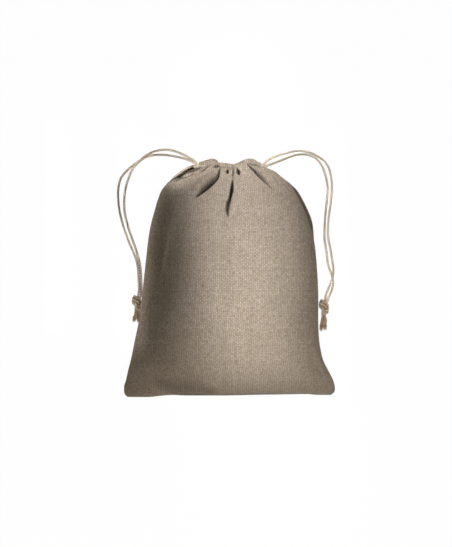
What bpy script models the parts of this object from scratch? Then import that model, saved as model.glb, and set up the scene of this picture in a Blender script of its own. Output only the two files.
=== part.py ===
"""Linen drawstring pouch, filled and lying on its back, its mouth drawn in by two knotted cords.

Metres. X runs across the pouch, Y from the bottom seam to the mouth, Z up from the surface that it lies on.
The origin lies on that surface, under the middle of the pouch.
"""

import math

import bmesh
import bpy
from mathutils import Vector

# Cloth and clearance
CLOTH = 0.0012
GAP = 0.0003

# Main sizes of the filled body: bottom seam to casing seam, corner to corner, and floor to crown
BODY_LENGTH = 0.2636
BODY_WIDTH = 0.2474
BODY_HEIGHT = 0.1030

# Levels of the outline, as shares of the body's length
CORNER_SHARE = 0.038
FLARE_SHARE = 0.167
WAIST_SHARE = 0.391
CHEST_SHARE = 0.747
SHOULDER_SHARE = 0.895

# Reach of the cloth's inner side from the middle line at each level, as shares of half the width
FOOT_REACH = 0.946
CORNER_REACH = 1.000
LEFT_FLARE_REACH = 0.934
RIGHT_FLARE_REACH = 0.883
WAIST_REACH = 0.835
CHEST_REACH = 0.770
SHOULDER_REACH = 0.679
NECK_REACH = 0.477

# Height of the side seams above the surface, as shares of the height
FOOT_LIFT = 0.097
FLARE_LIFT = 0.233
WAIST_LIFT = 0.359
CHEST_LIFT = 0.359
SHOULDER_LIFT = 0.320
NECK_LIFT_SHARE = 0.272

# Swell of the front above the side seams, and of the back below them, as shares of the height
FLARE_RISE = 0.583
WAIST_RISE = 0.641
CHEST_RISE = 0.553
SHOULDER_RISE = 0.369
WAIST_DROP = 0.505
CHEST_DROP = 0.485
SHOULDER_DROP = 0.320
FOOT_ROUNDING = 0.0700
FLOOR_ROUNDING = 0.0060

# Exponents of the body's and the neck's cross-sections
BODY_SQUARENESS = 2.0
BODY_FULLNESS = 0.40
NECK_SQUARENESS = 4.0
NECK_FULLNESS = 0.50

# Casings: the hemmed tunnels along the mouth
CASING_LEFT = 0.0360
CASING_RIGHT = 0.0375
CASING_HEIGHT = 0.0115
LOBE_RISE = 0.0045
LOBES = 2
PLEATS = 6
PLEAT_DEPTH = 0.0030
MOUTH_GAP = 0.0104
BORE_HEIGHT = 0.0090
BORE_DEPTH = 0.0076

# Seam allowances inside the pouch
ALLOWANCE = 0.0080
SEAM_CLEARANCE = 0.0006
SIDE_SEAM_START = 0.0250
BOTTOM_SEAM_REACH = 0.0850

# Cords
CORD = 0.0030
CORD_SPACING = 0.0036
STRAND_INSIDE = 0.0260
RUN_OUT = 0.0008
TURN_RADIUS = 0.0048
CORD_STEP = 0.0075
KNOT_PITCH = 0.00335
KNOT_STEP = 0.0018
TAIL_STEP = 0.0040

# Mesh density
COLUMNS = 40
FOOT_ROWS = 5
BODY_ROWS = 6
NECK_ROWS = 5
CASING_STATIONS = 36
RING_POINTS = 12
RING_EXPONENT = 0.5
SEAM_STATIONS = 20
TWIST_POINTS = 8
TURN_POINTS = 4
ROUTE_DETAIL = 12

LINEN = (0.46, 0.38, 0.30)
COTTON = (0.66, 0.55, 0.43)
CLOTH_ROUGHNESS = 0.95
CORD_ROUGHNESS = 0.85

# Values that follow from the sizes above
HALF_WIDTH = BODY_WIDTH / 2
CORNER_LEVEL = CORNER_SHARE * BODY_LENGTH
FLARE_LEVEL = FLARE_SHARE * BODY_LENGTH
WAIST_LEVEL = WAIST_SHARE * BODY_LENGTH
CHEST_LEVEL = CHEST_SHARE * BODY_LENGTH
SHOULDER_LEVEL = SHOULDER_SHARE * BODY_LENGTH
NECK_STRETCH = BODY_LENGTH - SHOULDER_LEVEL
NECK_LIFT = NECK_LIFT_SHARE * BODY_HEIGHT
TOTAL_LENGTH = CLOTH + BODY_LENGTH + GAP + CASING_HEIGHT + LOBE_RISE
FOOT_Y = CLOTH - TOTAL_LENGTH / 2
CASING_Y = FOOT_Y + BODY_LENGTH + GAP
CASING_DEPTH = BORE_DEPTH + 2 * CLOTH
NECK_RISE = MOUTH_GAP / 2 + CLOTH + BORE_DEPTH
BORE_Y = CASING_Y + CLOTH + BORE_HEIGHT / 2
BORE_Z = NECK_LIFT + MOUTH_GAP / 2 + CASING_DEPTH / 2
CORD_Y = BORE_Y + (BORE_HEIGHT - 2 * CORD_SPACING) / 2
LEFT_STRAND_END = STRAND_INSIDE - CASING_LEFT
RIGHT_STRAND_END = CASING_RIGHT - STRAND_INSIDE

# Heights of the outline's named levels, and what is measured at each
LEFT_OUTLINE = [
    (0.0, FOOT_REACH * HALF_WIDTH),
    (CORNER_LEVEL, CORNER_REACH * HALF_WIDTH),
    (FLARE_LEVEL, LEFT_FLARE_REACH * HALF_WIDTH),
    (WAIST_LEVEL, WAIST_REACH * HALF_WIDTH),
    (CHEST_LEVEL, CHEST_REACH * HALF_WIDTH),
    (SHOULDER_LEVEL, SHOULDER_REACH * HALF_WIDTH),
    (BODY_LENGTH, NECK_REACH * HALF_WIDTH),
]
RIGHT_OUTLINE = LEFT_OUTLINE[:2] + [(FLARE_LEVEL, RIGHT_FLARE_REACH * HALF_WIDTH)] + LEFT_OUTLINE[3:]
SEAM_LIFTS = [
    (0.0, FOOT_LIFT * BODY_HEIGHT),
    (FLARE_LEVEL, FLARE_LIFT * BODY_HEIGHT),
    (WAIST_LEVEL, WAIST_LIFT * BODY_HEIGHT),
    (CHEST_LEVEL, CHEST_LIFT * BODY_HEIGHT),
    (SHOULDER_LEVEL, SHOULDER_LIFT * BODY_HEIGHT),
    (BODY_LENGTH, NECK_LIFT),
]
FRONT_SWELL = [
    (0.0, FLARE_RISE * BODY_HEIGHT),
    (FLARE_LEVEL, FLARE_RISE * BODY_HEIGHT),
    (WAIST_LEVEL, WAIST_RISE * BODY_HEIGHT),
    (CHEST_LEVEL, CHEST_RISE * BODY_HEIGHT),
    (SHOULDER_LEVEL, SHOULDER_RISE * BODY_HEIGHT),
    (BODY_LENGTH, NECK_RISE),
]
BACK_SWELL = [
    (0.0, WAIST_DROP * BODY_HEIGHT),
    (WAIST_LEVEL, WAIST_DROP * BODY_HEIGHT),
    (CHEST_LEVEL, CHEST_DROP * BODY_HEIGHT),
    (SHOULDER_LEVEL, SHOULDER_DROP * BODY_HEIGHT),
    (BODY_LENGTH, NECK_RISE),
]

# Routes of the four free strands from the casing to the knot, as they lie in the photograph
LEFT_FRONT_ROUTE = [
    (-0.0378, 0.1328, 0.0398), (-0.0425, 0.1380, 0.0387), (-0.0519, 0.1436, 0.0355), (-0.0614, 0.1480, 0.0305),
    (-0.0708, 0.1508, 0.0240), (-0.0802, 0.1513, 0.0175), (-0.0897, 0.1495, 0.0120), (-0.0991, 0.1451, 0.0078),
    (-0.1038, 0.1412, 0.0062), (-0.1103, 0.1352, 0.0052), (-0.1163, 0.1274, 0.0036), (-0.1210, 0.1156, 0.0018),
    (-0.1241, 0.1038, 0.0016), (-0.1252, 0.0920, 0.0016), (-0.1250, 0.0802, 0.0016), (-0.1227, 0.0684, 0.0016),
    (-0.1195, 0.0566, 0.0016), (-0.1153, 0.0448, 0.0016), (-0.1105, 0.0330, 0.0016), (-0.1062, 0.0212, 0.0016),
    (-0.1043, 0.0094, 0.0016), (-0.1042, -0.0024, 0.0024), (-0.1057, -0.0120, 0.0046), (-0.1073, -0.0175, 0.0057),
    (-0.1073, -0.0216, 0.0058),
]
LEFT_BACK_ROUTE = [
    (-0.0378, 0.1326, 0.0161), (-0.0425, 0.1364, 0.0156), (-0.0519, 0.1407, 0.0140), (-0.0614, 0.1430, 0.0108),
    (-0.0708, 0.1449, 0.0070), (-0.0802, 0.1459, 0.0038), (-0.0897, 0.1456, 0.0020), (-0.0991, 0.1433, 0.0016),
    (-0.1062, 0.1392, 0.0016), (-0.1145, 0.1336, 0.0016), (-0.1218, 0.1274, 0.0016), (-0.1271, 0.1215, 0.0016),
    (-0.1303, 0.1156, 0.0016), (-0.1326, 0.1038, 0.0016), (-0.1323, 0.0920, 0.0016), (-0.1310, 0.0802, 0.0016),
    (-0.1284, 0.0684, 0.0016), (-0.1248, 0.0566, 0.0016), (-0.1206, 0.0448, 0.0016), (-0.1156, 0.0330, 0.0016),
    (-0.1110, 0.0212, 0.0016), (-0.1088, 0.0094, 0.0016), (-0.1086, -0.0024, 0.0024), (-0.1097, -0.0120, 0.0046),
    (-0.1107, -0.0175, 0.0057), (-0.1107, -0.0216, 0.0058),
]
RIGHT_FRONT_ROUTE = [
    (0.0392, 0.1332, 0.0398), (0.0440, 0.1380, 0.0386), (0.0519, 0.1422, 0.0360), (0.0614, 0.1457, 0.0310),
    (0.0708, 0.1483, 0.0247), (0.0802, 0.1500, 0.0180), (0.0897, 0.1492, 0.0118), (0.0991, 0.1465, 0.0072),
    (0.1062, 0.1424, 0.0044), (0.1112, 0.1390, 0.0028), (0.1153, 0.1336, 0.0018), (0.1180, 0.1274, 0.0016),
    (0.1204, 0.1156, 0.0016), (0.1208, 0.1038, 0.0016), (0.1198, 0.0920, 0.0016), (0.1180, 0.0802, 0.0016),
    (0.1166, 0.0684, 0.0016), (0.1159, 0.0566, 0.0016), (0.1168, 0.0448, 0.0017), (0.1192, 0.0330, 0.0022),
    (0.1210, 0.0212, 0.0036), (0.1224, 0.0118, 0.0051), (0.1218, 0.0030, 0.0054), (0.1196, -0.0055, 0.0051),
    (0.1160, -0.0130, 0.0050), (0.1106, -0.0184, 0.0056), (0.1084, -0.0220, 0.0058), (0.1084, -0.0256, 0.0058),
]
RIGHT_BACK_ROUTE = [
    (0.0392, 0.1315, 0.0161), (0.0440, 0.1330, 0.0156), (0.0519, 0.1357, 0.0140), (0.0614, 0.1395, 0.0108),
    (0.0708, 0.1435, 0.0070), (0.0802, 0.1461, 0.0038), (0.0897, 0.1463, 0.0020), (0.0991, 0.1433, 0.0016),
    (0.1043, 0.1392, 0.0016), (0.1086, 0.1333, 0.0016), (0.1113, 0.1274, 0.0016), (0.1147, 0.1156, 0.0016),
    (0.1160, 0.1038, 0.0016), (0.1148, 0.0920, 0.0016), (0.1135, 0.0802, 0.0016), (0.1125, 0.0684, 0.0016),
    (0.1119, 0.0566, 0.0016), (0.1121, 0.0448, 0.0016), (0.1142, 0.0330, 0.0016), (0.1154, 0.0212, 0.0016),
    (0.1174, 0.0118, 0.0016), (0.1204, 0.0035, 0.0016), (0.1218, -0.0047, 0.0016), (0.1210, -0.0130, 0.0020),
    (0.1168, -0.0194, 0.0044), (0.1122, -0.0226, 0.0058), (0.1120, -0.0256, 0.0058),
]

# Knots: their middles, their entry and exit, and the overhand path in steps of the knot's pitch
LEFT_KNOT_AT = Vector((-0.1090, -0.0301, 0.0058))
RIGHT_KNOT_AT = Vector((0.1101, -0.0342, 0.0058))
OVERHAND_PATH = [
    (-0.50, 2.40, 0.00), (-0.50, 1.50, 0.00), (-0.50, 0.50, 0.00), (-0.50, -0.60, 0.00), (-0.40, -1.40, 0.30),
    (0.00, -1.60, 1.00), (0.75, -1.05, 1.18), (1.45, -0.45, 0.60), (1.55, 0.00, -0.30), (1.00, 0.35, -1.05),
    (0.00, 0.65, -1.15), (-1.05, 0.95, -1.00), (-1.55, 1.25, -0.20), (-1.30, 1.50, 0.75), (-0.50, 1.65, 1.15),
    (0.30, 1.60, 0.85), (0.55, 1.00, 0.15), (0.50, 0.20, 0.00), (0.50, -0.80, 0.00), (0.50, -1.60, 0.00),
    (0.50, -2.40, 0.00),
]
LEFT_FRONT_TAIL = [
    (-0.1073, -0.0387, 0.0058), (-0.1073, -0.0412, 0.0055), (-0.1072, -0.0450, 0.0036), (-0.1076, -0.0507, 0.0018),
]
LEFT_BACK_TAIL = [
    (-0.1107, -0.0383, 0.0056), (-0.1109, -0.0412, 0.0053), (-0.1124, -0.0450, 0.0036), (-0.1148, -0.0502, 0.0018),
]
RIGHT_FRONT_TAIL = [
    (0.1084, -0.0424, 0.0056), (0.1083, -0.0455, 0.0052), (0.1078, -0.0510, 0.0032), (0.1070, -0.0612, 0.0018),
]
RIGHT_BACK_TAIL = [
    (0.1118, -0.0428, 0.0058), (0.1118, -0.0455, 0.0054), (0.1122, -0.0510, 0.0032), (0.1126, -0.0612, 0.0018),
]


def clear_scene():
    """Remove every object that the scene holds."""
    for item in list(bpy.data.objects):
        bpy.data.objects.remove(item)


def finish(name, colour, roughness):
    """Return a plain material for one piece."""
    material = bpy.data.materials.new(name)
    material.use_nodes = True
    shader = material.node_tree.nodes["Principled BSDF"]
    shader.inputs["Base Color"].default_value = (*colour, 1.0)
    shader.inputs["Roughness"].default_value = roughness
    shader.inputs["Metallic"].default_value = 0.0
    return material


def along(table, level):
    """Read a smooth curve through (level, value) rows at one level."""
    last = len(table) - 1
    spot = 0
    while spot < last - 1 and level > table[spot + 1][0]:
        spot += 1

    def slope(index):
        low = table[max(index - 1, 0)]
        high = table[min(index + 1, last)]
        return (high[1] - low[1]) / (high[0] - low[0])

    (start, first), (end, second) = table[spot], table[spot + 1]
    span = end - start
    share = (level - start) / span
    square = share * share
    cube = square * share
    return (
        first * (2 * cube - 3 * square + 1)
        + second * (3 * square - 2 * cube)
        + span * slope(spot) * (cube - 2 * square + share)
        + span * slope(spot + 1) * (cube - square)
    )


def ease(share):
    """Smooth step from 0 to 1."""
    share = min(max(share, 0.0), 1.0)
    return share * share * (3 - 2 * share)


def neck_share(level):
    """How far a level has passed from the body into the gathered neck."""
    return ease((level - SHOULDER_LEVEL) / NECK_STRETCH)


def foot_share(level):
    """Rounding of the body over the bottom seam."""
    left = max(1 - level / FOOT_ROUNDING, 0.0)
    return math.sqrt(1 - left * left)


def pleat(x):
    """Depth of the gathers at one place along the casing."""
    share = (x + CASING_LEFT) / (CASING_LEFT + CASING_RIGHT)
    if not 0 < share < 1:
        return 0.0
    return PLEAT_DEPTH * (1 - math.cos(2 * math.pi * PLEATS * share)) / 2


def across(level, column):
    """Return X and the section's swell, from 0 at a seam to 1, of one column at one level."""
    share = column / COLUMNS
    neck = neck_share(level)
    place = -math.cos(math.pi * share) * (1 - neck) + (2 * share - 1) * neck
    left = along(LEFT_OUTLINE, level)
    right = along(RIGHT_OUTLINE, level)
    x = (right - left) / 2 + (right + left) / 2 * place
    square = BODY_SQUARENESS * (1 - neck) + NECK_SQUARENESS * neck
    full = BODY_FULLNESS * (1 - neck) + NECK_FULLNESS * neck
    return x, max(1 - abs(place) ** square, 0.0) ** full


def above_floor(z):
    """Lay cloth that would sink below the surface flat on it, with a soft edge."""
    over = z - CLOTH
    if over <= -FLOOR_ROUNDING:
        return CLOTH
    if over >= FLOOR_ROUNDING:
        return z
    return CLOTH + (over + FLOOR_ROUNDING) ** 2 / (4 * FLOOR_ROUNDING)


def body_levels():
    """Levels of the panels' rows, close together over the foot and in the neck."""
    levels = []
    for row in range(FOOT_ROWS):
        levels.append(FOOT_ROUNDING * (1 - math.cos(math.pi / 2 * row / FOOT_ROWS)))
    for row in range(BODY_ROWS):
        levels.append(FOOT_ROUNDING + (SHOULDER_LEVEL - FOOT_ROUNDING) * row / BODY_ROWS)
    for row in range(NECK_ROWS + 1):
        levels.append(SHOULDER_LEVEL + NECK_STRETCH * row / NECK_ROWS)
    return levels


def panel_point(level, column, side):
    """Point on the inner side of the front panel (side 1) or the back panel (side -1)."""
    x, swell = across(level, column)
    table = FRONT_SWELL if side > 0 else BACK_SWELL
    depth = along(table, level) * foot_share(level) * swell + pleat(x) * neck_share(level)
    z = along(SEAM_LIFTS, level) + side * (GAP / 2 + depth)
    if side < 0:
        z = above_floor(z)
    return Vector((x, FOOT_Y + level, z))


def panel_outward(grid, row, column, side):
    """Direction in which the cloth's thickness grows at one point of a panel."""
    rows = len(grid) - 1
    edge = Vector((0.0, 0.0, 0.0))
    if column in (0, COLUMNS):
        edge.x = -1.0 if column == 0 else 1.0
    if row == 0:
        edge.y = -1.0
    if edge.length > 0:
        return edge.normalized()
    lengthways = grid[min(row + 1, rows)][column] - grid[row - 1][column]
    sideways = grid[row][column + 1] - grid[row][column - 1]
    normal = sideways.cross(lengthways) * side
    if row == rows:
        normal.y = 0.0
    return normal.normalized()


def add_mesh(name, points, faces, colour, roughness):
    """Add one closed solid with outward faces."""
    mesh = bpy.data.meshes.new(name)
    mesh.from_pydata([tuple(point) for point in points], [], faces)
    body = bmesh.new()
    body.from_mesh(mesh)
    bmesh.ops.recalc_face_normals(body, faces=body.faces)
    if body.calc_volume(signed=True) < 0:
        bmesh.ops.reverse_faces(body, faces=body.faces)
    body.to_mesh(mesh)
    body.free()
    mesh.shade_smooth()
    mesh.materials.append(finish(name + "_finish", colour, roughness))
    item = bpy.data.objects.new(name, mesh)
    bpy.context.scene.collection.objects.link(item)
    return item


def add_panel(name, side):
    """Add one panel: a shell of cloth from the seams to the casing."""
    grid = [[panel_point(level, column, side) for column in range(COLUMNS + 1)] for level in body_levels()]
    rows = len(grid) - 1
    width = COLUMNS + 1
    inner = [point for line in grid for point in line]
    outer = []
    for row in range(rows + 1):
        for column in range(width):
            outer.append(grid[row][column] + CLOTH * panel_outward(grid, row, column, side))
    shift = len(inner)
    faces = []
    for row in range(rows):
        for column in range(COLUMNS):
            a = row * width + column
            faces.append((a, a + 1, a + width + 1, a + width))
            faces.append((a + shift + width, a + shift + width + 1, a + shift + 1, a + shift))
    rim = [column for column in range(COLUMNS)]
    rim += [row * width + COLUMNS for row in range(rows)]
    rim += [rows * width + column for column in range(COLUMNS, 0, -1)]
    rim += [row * width for row in range(rows, 0, -1)]
    for spot, a in enumerate(rim):
        b = rim[(spot + 1) % len(rim)]
        faces.append((a, a + shift, b + shift, b))
    return add_mesh(name, inner + outer, faces, LINEN, CLOTH_ROUGHNESS)


def ring(x, middle_y, middle_z, half_y, half_z):
    """Rounded rectangle across the casing at one place along it."""
    points = []
    flat = math.cos(math.pi / RING_POINTS) ** RING_EXPONENT
    for spot in range(RING_POINTS):
        angle = 2 * math.pi * (spot + 0.5) / RING_POINTS
        y = math.copysign(abs(math.cos(angle)) ** RING_EXPONENT, math.cos(angle)) / flat
        z = math.copysign(abs(math.sin(angle)) ** RING_EXPONENT, math.sin(angle)) / flat
        points.append(Vector((x, middle_y + half_y * y, middle_z + half_z * z)))
    return points


def add_casing(name, side):
    """Add one casing: a pleated tunnel with two lobes along its top, open at both ends."""
    points = []
    for station in range(CASING_STATIONS + 1):
        share = station / CASING_STATIONS
        x = -CASING_LEFT + (CASING_LEFT + CASING_RIGHT) * share
        height = CASING_HEIGHT + LOBE_RISE * (1 - math.cos(2 * math.pi * LOBES * share)) / 2
        depth = CASING_DEPTH + pleat(x)
        middle_z = NECK_LIFT + side * (MOUTH_GAP + depth) / 2
        points += ring(x, CASING_Y + height / 2, middle_z, height / 2, depth / 2)
        bore_z = NECK_LIFT + side * (BORE_Z - NECK_LIFT)
        points += ring(x, BORE_Y, bore_z, BORE_HEIGHT / 2, BORE_DEPTH / 2)
    faces = []
    station_size = 2 * RING_POINTS
    for station in range(CASING_STATIONS):
        for shift in (0, RING_POINTS):
            for spot in range(RING_POINTS):
                a = station * station_size + shift + spot
                b = station * station_size + shift + (spot + 1) % RING_POINTS
                faces.append((a, b, b + station_size, a + station_size))
    for station in (0, CASING_STATIONS):
        for spot in range(RING_POINTS):
            a = station * station_size + spot
            b = station * station_size + (spot + 1) % RING_POINTS
            faces.append((a, b, b + RING_POINTS, a + RING_POINTS))
    return add_mesh(name, points, faces, LINEN, CLOTH_ROUGHNESS)


def add_strip(name, near, far):
    """Add a seam allowance: two layers of cloth between two lines of points."""
    lift = Vector((0.0, 0.0, CLOTH))
    points = []
    for a, b in zip(near, far):
        points += [a - lift, b - lift, b + lift, a + lift]
    faces = [(0, 1, 2, 3), tuple(len(points) - 4 + corner for corner in range(4))]
    for station in range(len(near) - 1):
        for corner in range(4):
            a = station * 4 + corner
            b = station * 4 + (corner + 1) % 4
            faces.append((a, b, b + 4, a + 4))
    return add_mesh(name, points, faces, LINEN, CLOTH_ROUGHNESS)


def add_side_seam(name, side):
    """Add the allowance along the left seam (side -1) or the right seam (side 1), up to the slit."""
    outline = LEFT_OUTLINE if side < 0 else RIGHT_OUTLINE
    near = []
    far = []
    for level in body_levels():
        if not SIDE_SEAM_START <= level <= SHOULDER_LEVEL:
            continue
        edge = along(outline, level) - SEAM_CLEARANCE
        z = along(SEAM_LIFTS, level)
        near.append(Vector((side * edge, FOOT_Y + level, z)))
        far.append(Vector((side * (edge - ALLOWANCE), FOOT_Y + level, z)))
    return add_strip(name, near, far)


def add_bottom_seam(name):
    """Add the allowance along the bottom seam."""
    near = []
    far = []
    for station in range(SEAM_STATIONS + 1):
        x = BOTTOM_SEAM_REACH * (2 * station / SEAM_STATIONS - 1)
        for line, level in ((near, SEAM_CLEARANCE), (far, SEAM_CLEARANCE + ALLOWANCE)):
            line.append(Vector((x, FOOT_Y + level, along(SEAM_LIFTS, level))))
    return add_strip(name, near, far)


def smooth_route(route, step):
    """Even points along a smooth curve through a route's own points."""
    route = [Vector(point) for point in route]
    ends = [2 * route[0] - route[1]] + route + [2 * route[-1] - route[-2]]
    fine = []
    for a, b, c, d in zip(ends, ends[1:], ends[2:], ends[3:]):
        for part in range(ROUTE_DETAIL):
            t = part / ROUTE_DETAIL
            bend = (2 * a - 5 * b + 4 * c - d) * t * t + (3 * b - a - 3 * c + d) * t * t * t
            fine.append((2 * b + (c - a) * t + bend) / 2)
    fine.append(route[-1])
    reach = [0.0]
    for a, b in zip(fine, fine[1:]):
        reach.append(reach[-1] + (b - a).length)
    count = max(math.ceil(reach[-1] / step), 2)
    points = []
    spot = 0
    for number in range(count + 1):
        goal = reach[-1] * number / count
        while spot < len(fine) - 2 and reach[spot + 1] < goal:
            spot += 1
        share = (goal - reach[spot]) / (reach[spot + 1] - reach[spot])
        points.append(fine[spot].lerp(fine[spot + 1], share))
    return points


def add_cord(name, points, parent):
    """Add a round cord along points, carried by its parent."""
    curve = bpy.data.curves.new(name, "CURVE")
    curve.dimensions = "3D"
    curve.bevel_depth = CORD / 2
    curve.bevel_resolution = 2
    curve.use_fill_caps = True
    spline = curve.splines.new("POLY")
    spline.points.add(len(points) - 1)
    for knot, point in zip(spline.points, points):
        knot.co = (*(point - parent.location), 1.0)
    curve.materials.append(finish(name + "_finish", COTTON, CORD_ROUGHNESS))
    item = bpy.data.objects.new(name, curve)
    bpy.context.scene.collection.objects.link(item)
    item.parent = parent
    return item


def casing_cord_point(x, turn, side):
    """Point of a cord in a casing, at an angle round the pair of cords from its outer place."""
    y = CORD_Y + CORD_SPACING / 2 * math.sin(turn)
    z = BORE_Z + CORD_SPACING / 2 * math.cos(turn)
    return Vector((x, y, NECK_LIFT + side * (z - NECK_LIFT)))


def add_run(name, start, finish_x, casing_end, twist, parent):
    """Add a cord's run: through the front casing, round at the far slit and back through the back casing."""
    toward = math.copysign(1.0, casing_end)
    begin = start + toward * GAP
    half = []
    for spot in range(TWIST_POINTS + 1):
        share = spot / TWIST_POINTS
        half.append(casing_cord_point(begin + (finish_x - begin) * share, twist * math.pi * share, 1))
    turn_x = casing_end + toward * RUN_OUT
    half.append(casing_cord_point((finish_x + turn_x) / 2, math.pi, 1))
    top_z = casing_cord_point(turn_x, math.pi, 1).z
    for spot in range(TURN_POINTS + 1):
        angle = math.pi / 2 * spot / TURN_POINTS
        x = turn_x + toward * TURN_RADIUS * math.sin(angle)
        half.append(Vector((x, CORD_Y, top_z - TURN_RADIUS * (1 - math.cos(angle)))))
    back = [Vector((point.x, point.y, 2 * NECK_LIFT - point.z)) for point in reversed(half)]
    return add_cord(name, half + back, parent)


def add_strand(name, route, inner_end, side, parent):
    """Add a free strand: straight out of its casing, then along its route to the knot."""
    toward = math.copysign(1.0, route[0][0])
    casing_end = toward * (CASING_RIGHT if toward > 0 else CASING_LEFT)
    bend = casing_end - toward * CORD
    inside = [casing_cord_point(inner_end, 0.0, side), casing_cord_point((inner_end + bend) / 2, 0.0, side)]
    inside.append(casing_cord_point(bend, 0.0, side))
    return add_cord(name, smooth_route(inside + route, CORD_STEP), parent)


def add_knot(name, middle, parent):
    """Add an overhand knot: down the core, once round it and down through the turn."""
    route = [middle + KNOT_PITCH * Vector(step) for step in OVERHAND_PATH]
    return add_cord(name, smooth_route(route, KNOT_STEP), parent)


def add_holder(name, place):
    """Add the empty that carries the pieces of one moving body."""
    holder = bpy.data.objects.new(name, None)
    holder.location = place
    bpy.context.scene.collection.objects.link(holder)
    return holder


def add_drawstring(hand, casing_end, strand_end, routes, knot_at, tails):
    """Add the moving end of one drawstring: two strands, the knot and two tails."""
    holder = add_holder(hand + "_drawstring", casing_cord_point(casing_end, 0.0, 1))
    for face, side, route, tail in zip(("front", "back"), (1, -1), routes, tails):
        add_strand(f"{hand}_{face}_strand", route, strand_end, side, holder)
        add_cord(f"{hand}_{face}_tail", smooth_route(tail, TAIL_STEP), holder)
    add_knot(hand + "_knot", knot_at, holder)


def main():
    """Build the pouch and its two drawstrings."""
    clear_scene()
    add_panel("front_panel", 1)
    add_panel("back_panel", -1)
    add_casing("front_casing", 1)
    add_casing("back_casing", -1)
    add_side_seam("left_side_seam", -1)
    add_side_seam("right_side_seam", 1)
    add_bottom_seam("bottom_seam")
    pouch = add_holder("pouch", Vector((0.0, 0.0, 0.0)))
    add_run("left_cord_run", LEFT_STRAND_END, RIGHT_STRAND_END, CASING_RIGHT, 1, pouch)
    add_run("right_cord_run", RIGHT_STRAND_END, LEFT_STRAND_END, -CASING_LEFT, -1, pouch)
    add_drawstring(
        "left", -CASING_LEFT, LEFT_STRAND_END, (LEFT_FRONT_ROUTE, LEFT_BACK_ROUTE), LEFT_KNOT_AT,
        (LEFT_FRONT_TAIL, LEFT_BACK_TAIL),
    )
    add_drawstring(
        "right", CASING_RIGHT, RIGHT_STRAND_END, (RIGHT_FRONT_ROUTE, RIGHT_BACK_ROUTE), RIGHT_KNOT_AT,
        (RIGHT_FRONT_TAIL, RIGHT_BACK_TAIL),
    )


main()
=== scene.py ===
"""Looks of the linen drawstring pouch: its cloth, cords and sewing, and the studio around it.

In metres, in the frame of the solids: X across the pouch, Y from the bottom seam to the mouth, Z up from the
floor. Where a docstring says so, sizes are in millimetres.
"""

import logging
import math
from dataclasses import dataclass
from enum import Enum

import bpy
import numpy as np
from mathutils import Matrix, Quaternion, Vector, noise


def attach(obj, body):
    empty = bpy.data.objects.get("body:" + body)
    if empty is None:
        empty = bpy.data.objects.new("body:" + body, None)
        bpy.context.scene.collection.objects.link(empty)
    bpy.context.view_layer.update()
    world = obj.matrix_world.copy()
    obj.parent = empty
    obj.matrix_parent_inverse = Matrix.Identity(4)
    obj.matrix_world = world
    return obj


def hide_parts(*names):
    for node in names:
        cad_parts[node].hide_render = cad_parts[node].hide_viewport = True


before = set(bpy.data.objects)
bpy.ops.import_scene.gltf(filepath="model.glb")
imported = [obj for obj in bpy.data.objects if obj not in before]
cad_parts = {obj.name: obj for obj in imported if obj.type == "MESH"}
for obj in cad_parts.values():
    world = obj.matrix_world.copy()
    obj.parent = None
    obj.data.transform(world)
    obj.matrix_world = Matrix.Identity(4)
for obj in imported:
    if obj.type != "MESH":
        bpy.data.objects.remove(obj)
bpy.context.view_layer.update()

logging.basicConfig(level=logging.INFO, format="%(message)s")
LOG = logging.getLogger("pouch")

MM = 0.001
Plan = tuple[tuple[float, float], ...]
Point = tuple[float, float, float]
Route = tuple[Point, ...]
Colour = tuple[float, float, float, float]
Array = np.ndarray
Material = bpy.types.Material
Piece = bpy.types.Object
Tree = bpy.types.NodeTree
Socket = bpy.types.NodeSocket
Sockets = bpy.types.bpy_prop_collection
TINY = 1e-12
MIDDLE = 0.5
MIX_SHARE, MIX_FIRST, MIX_SECOND, MIX_RESULT = 0, 6, 7, 2
UP = (0.0, 0.0, 1.0)
AWAY = (0.0, 1.0, 0.0)
NO_POINTS = np.zeros((0, 3))
WHITE = (1.0, 1.0, 1.0)
WARM = (1.0, 0.96, 0.85)
FIBRE_GLOSS = 0.2
CORD_DIAMETER = 0.0030
CORD_INSIDE = 0.0260
CASING_Y = 0.13115


class Side(Enum):
    """The two cloths of the pouch."""

    FRONT = 1
    BACK = -1


class Hand(Enum):
    """The two sides at which the cords leave, as seen from above."""

    LEFT = -1
    RIGHT = 1


class Slot(Enum):
    """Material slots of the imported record."""

    LINEN = "linen"
    CORD = "cord"


class Body(Enum):
    """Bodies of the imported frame."""

    POUCH = "pouch"
    LEFT = "left_drawstring"
    RIGHT = "right_drawstring"


@dataclass(frozen=True)
class Profile:
    """A smooth curve through rows of a place and a value, in millimetres."""

    rows: Plan

    def read(self, places: Array) -> Array:
        """Read the curve.

        Args:
            places: where to read it, in millimetres; past an end the end's value holds.

        Returns:
            The values there, in millimetres.
        """
        keys = np.array([row[0] for row in self.rows])
        values = np.array([row[1] for row in self.rows])
        rise = np.diff(values) / np.diff(keys)
        before = np.concatenate((rise[:1], rise))
        after = np.concatenate((rise, rise[-1:]))
        slopes = np.where(before * after > 0, (before + after) / 2, 0.0)
        places = np.clip(np.asarray(places, float), keys[0], keys[-1])
        spot = np.clip(np.searchsorted(keys, places, side="right") - 1, 0, len(keys) - 2)
        span = keys[spot + 1] - keys[spot]
        t = (places - keys[spot]) / span
        return (
            values[spot] * (2 * t**3 - 3 * t**2 + 1)
            + values[spot + 1] * (3 * t**2 - 2 * t**3)
            + span * slopes[spot] * (t**3 - 2 * t**2 + t)
            + span * slopes[spot + 1] * (t**3 - t**2)
        )


def ease(share: Array) -> Array:
    """Smooth step from 0 to 1."""
    share = np.clip(share, 0.0, 1.0)
    return share * share * (3 - 2 * share)


def unit(vectors: Array) -> Array:
    """Vectors of length 1 along the last axis."""
    size = np.linalg.norm(vectors, axis=-1, keepdims=True)
    return vectors / np.maximum(size, TINY)


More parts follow.
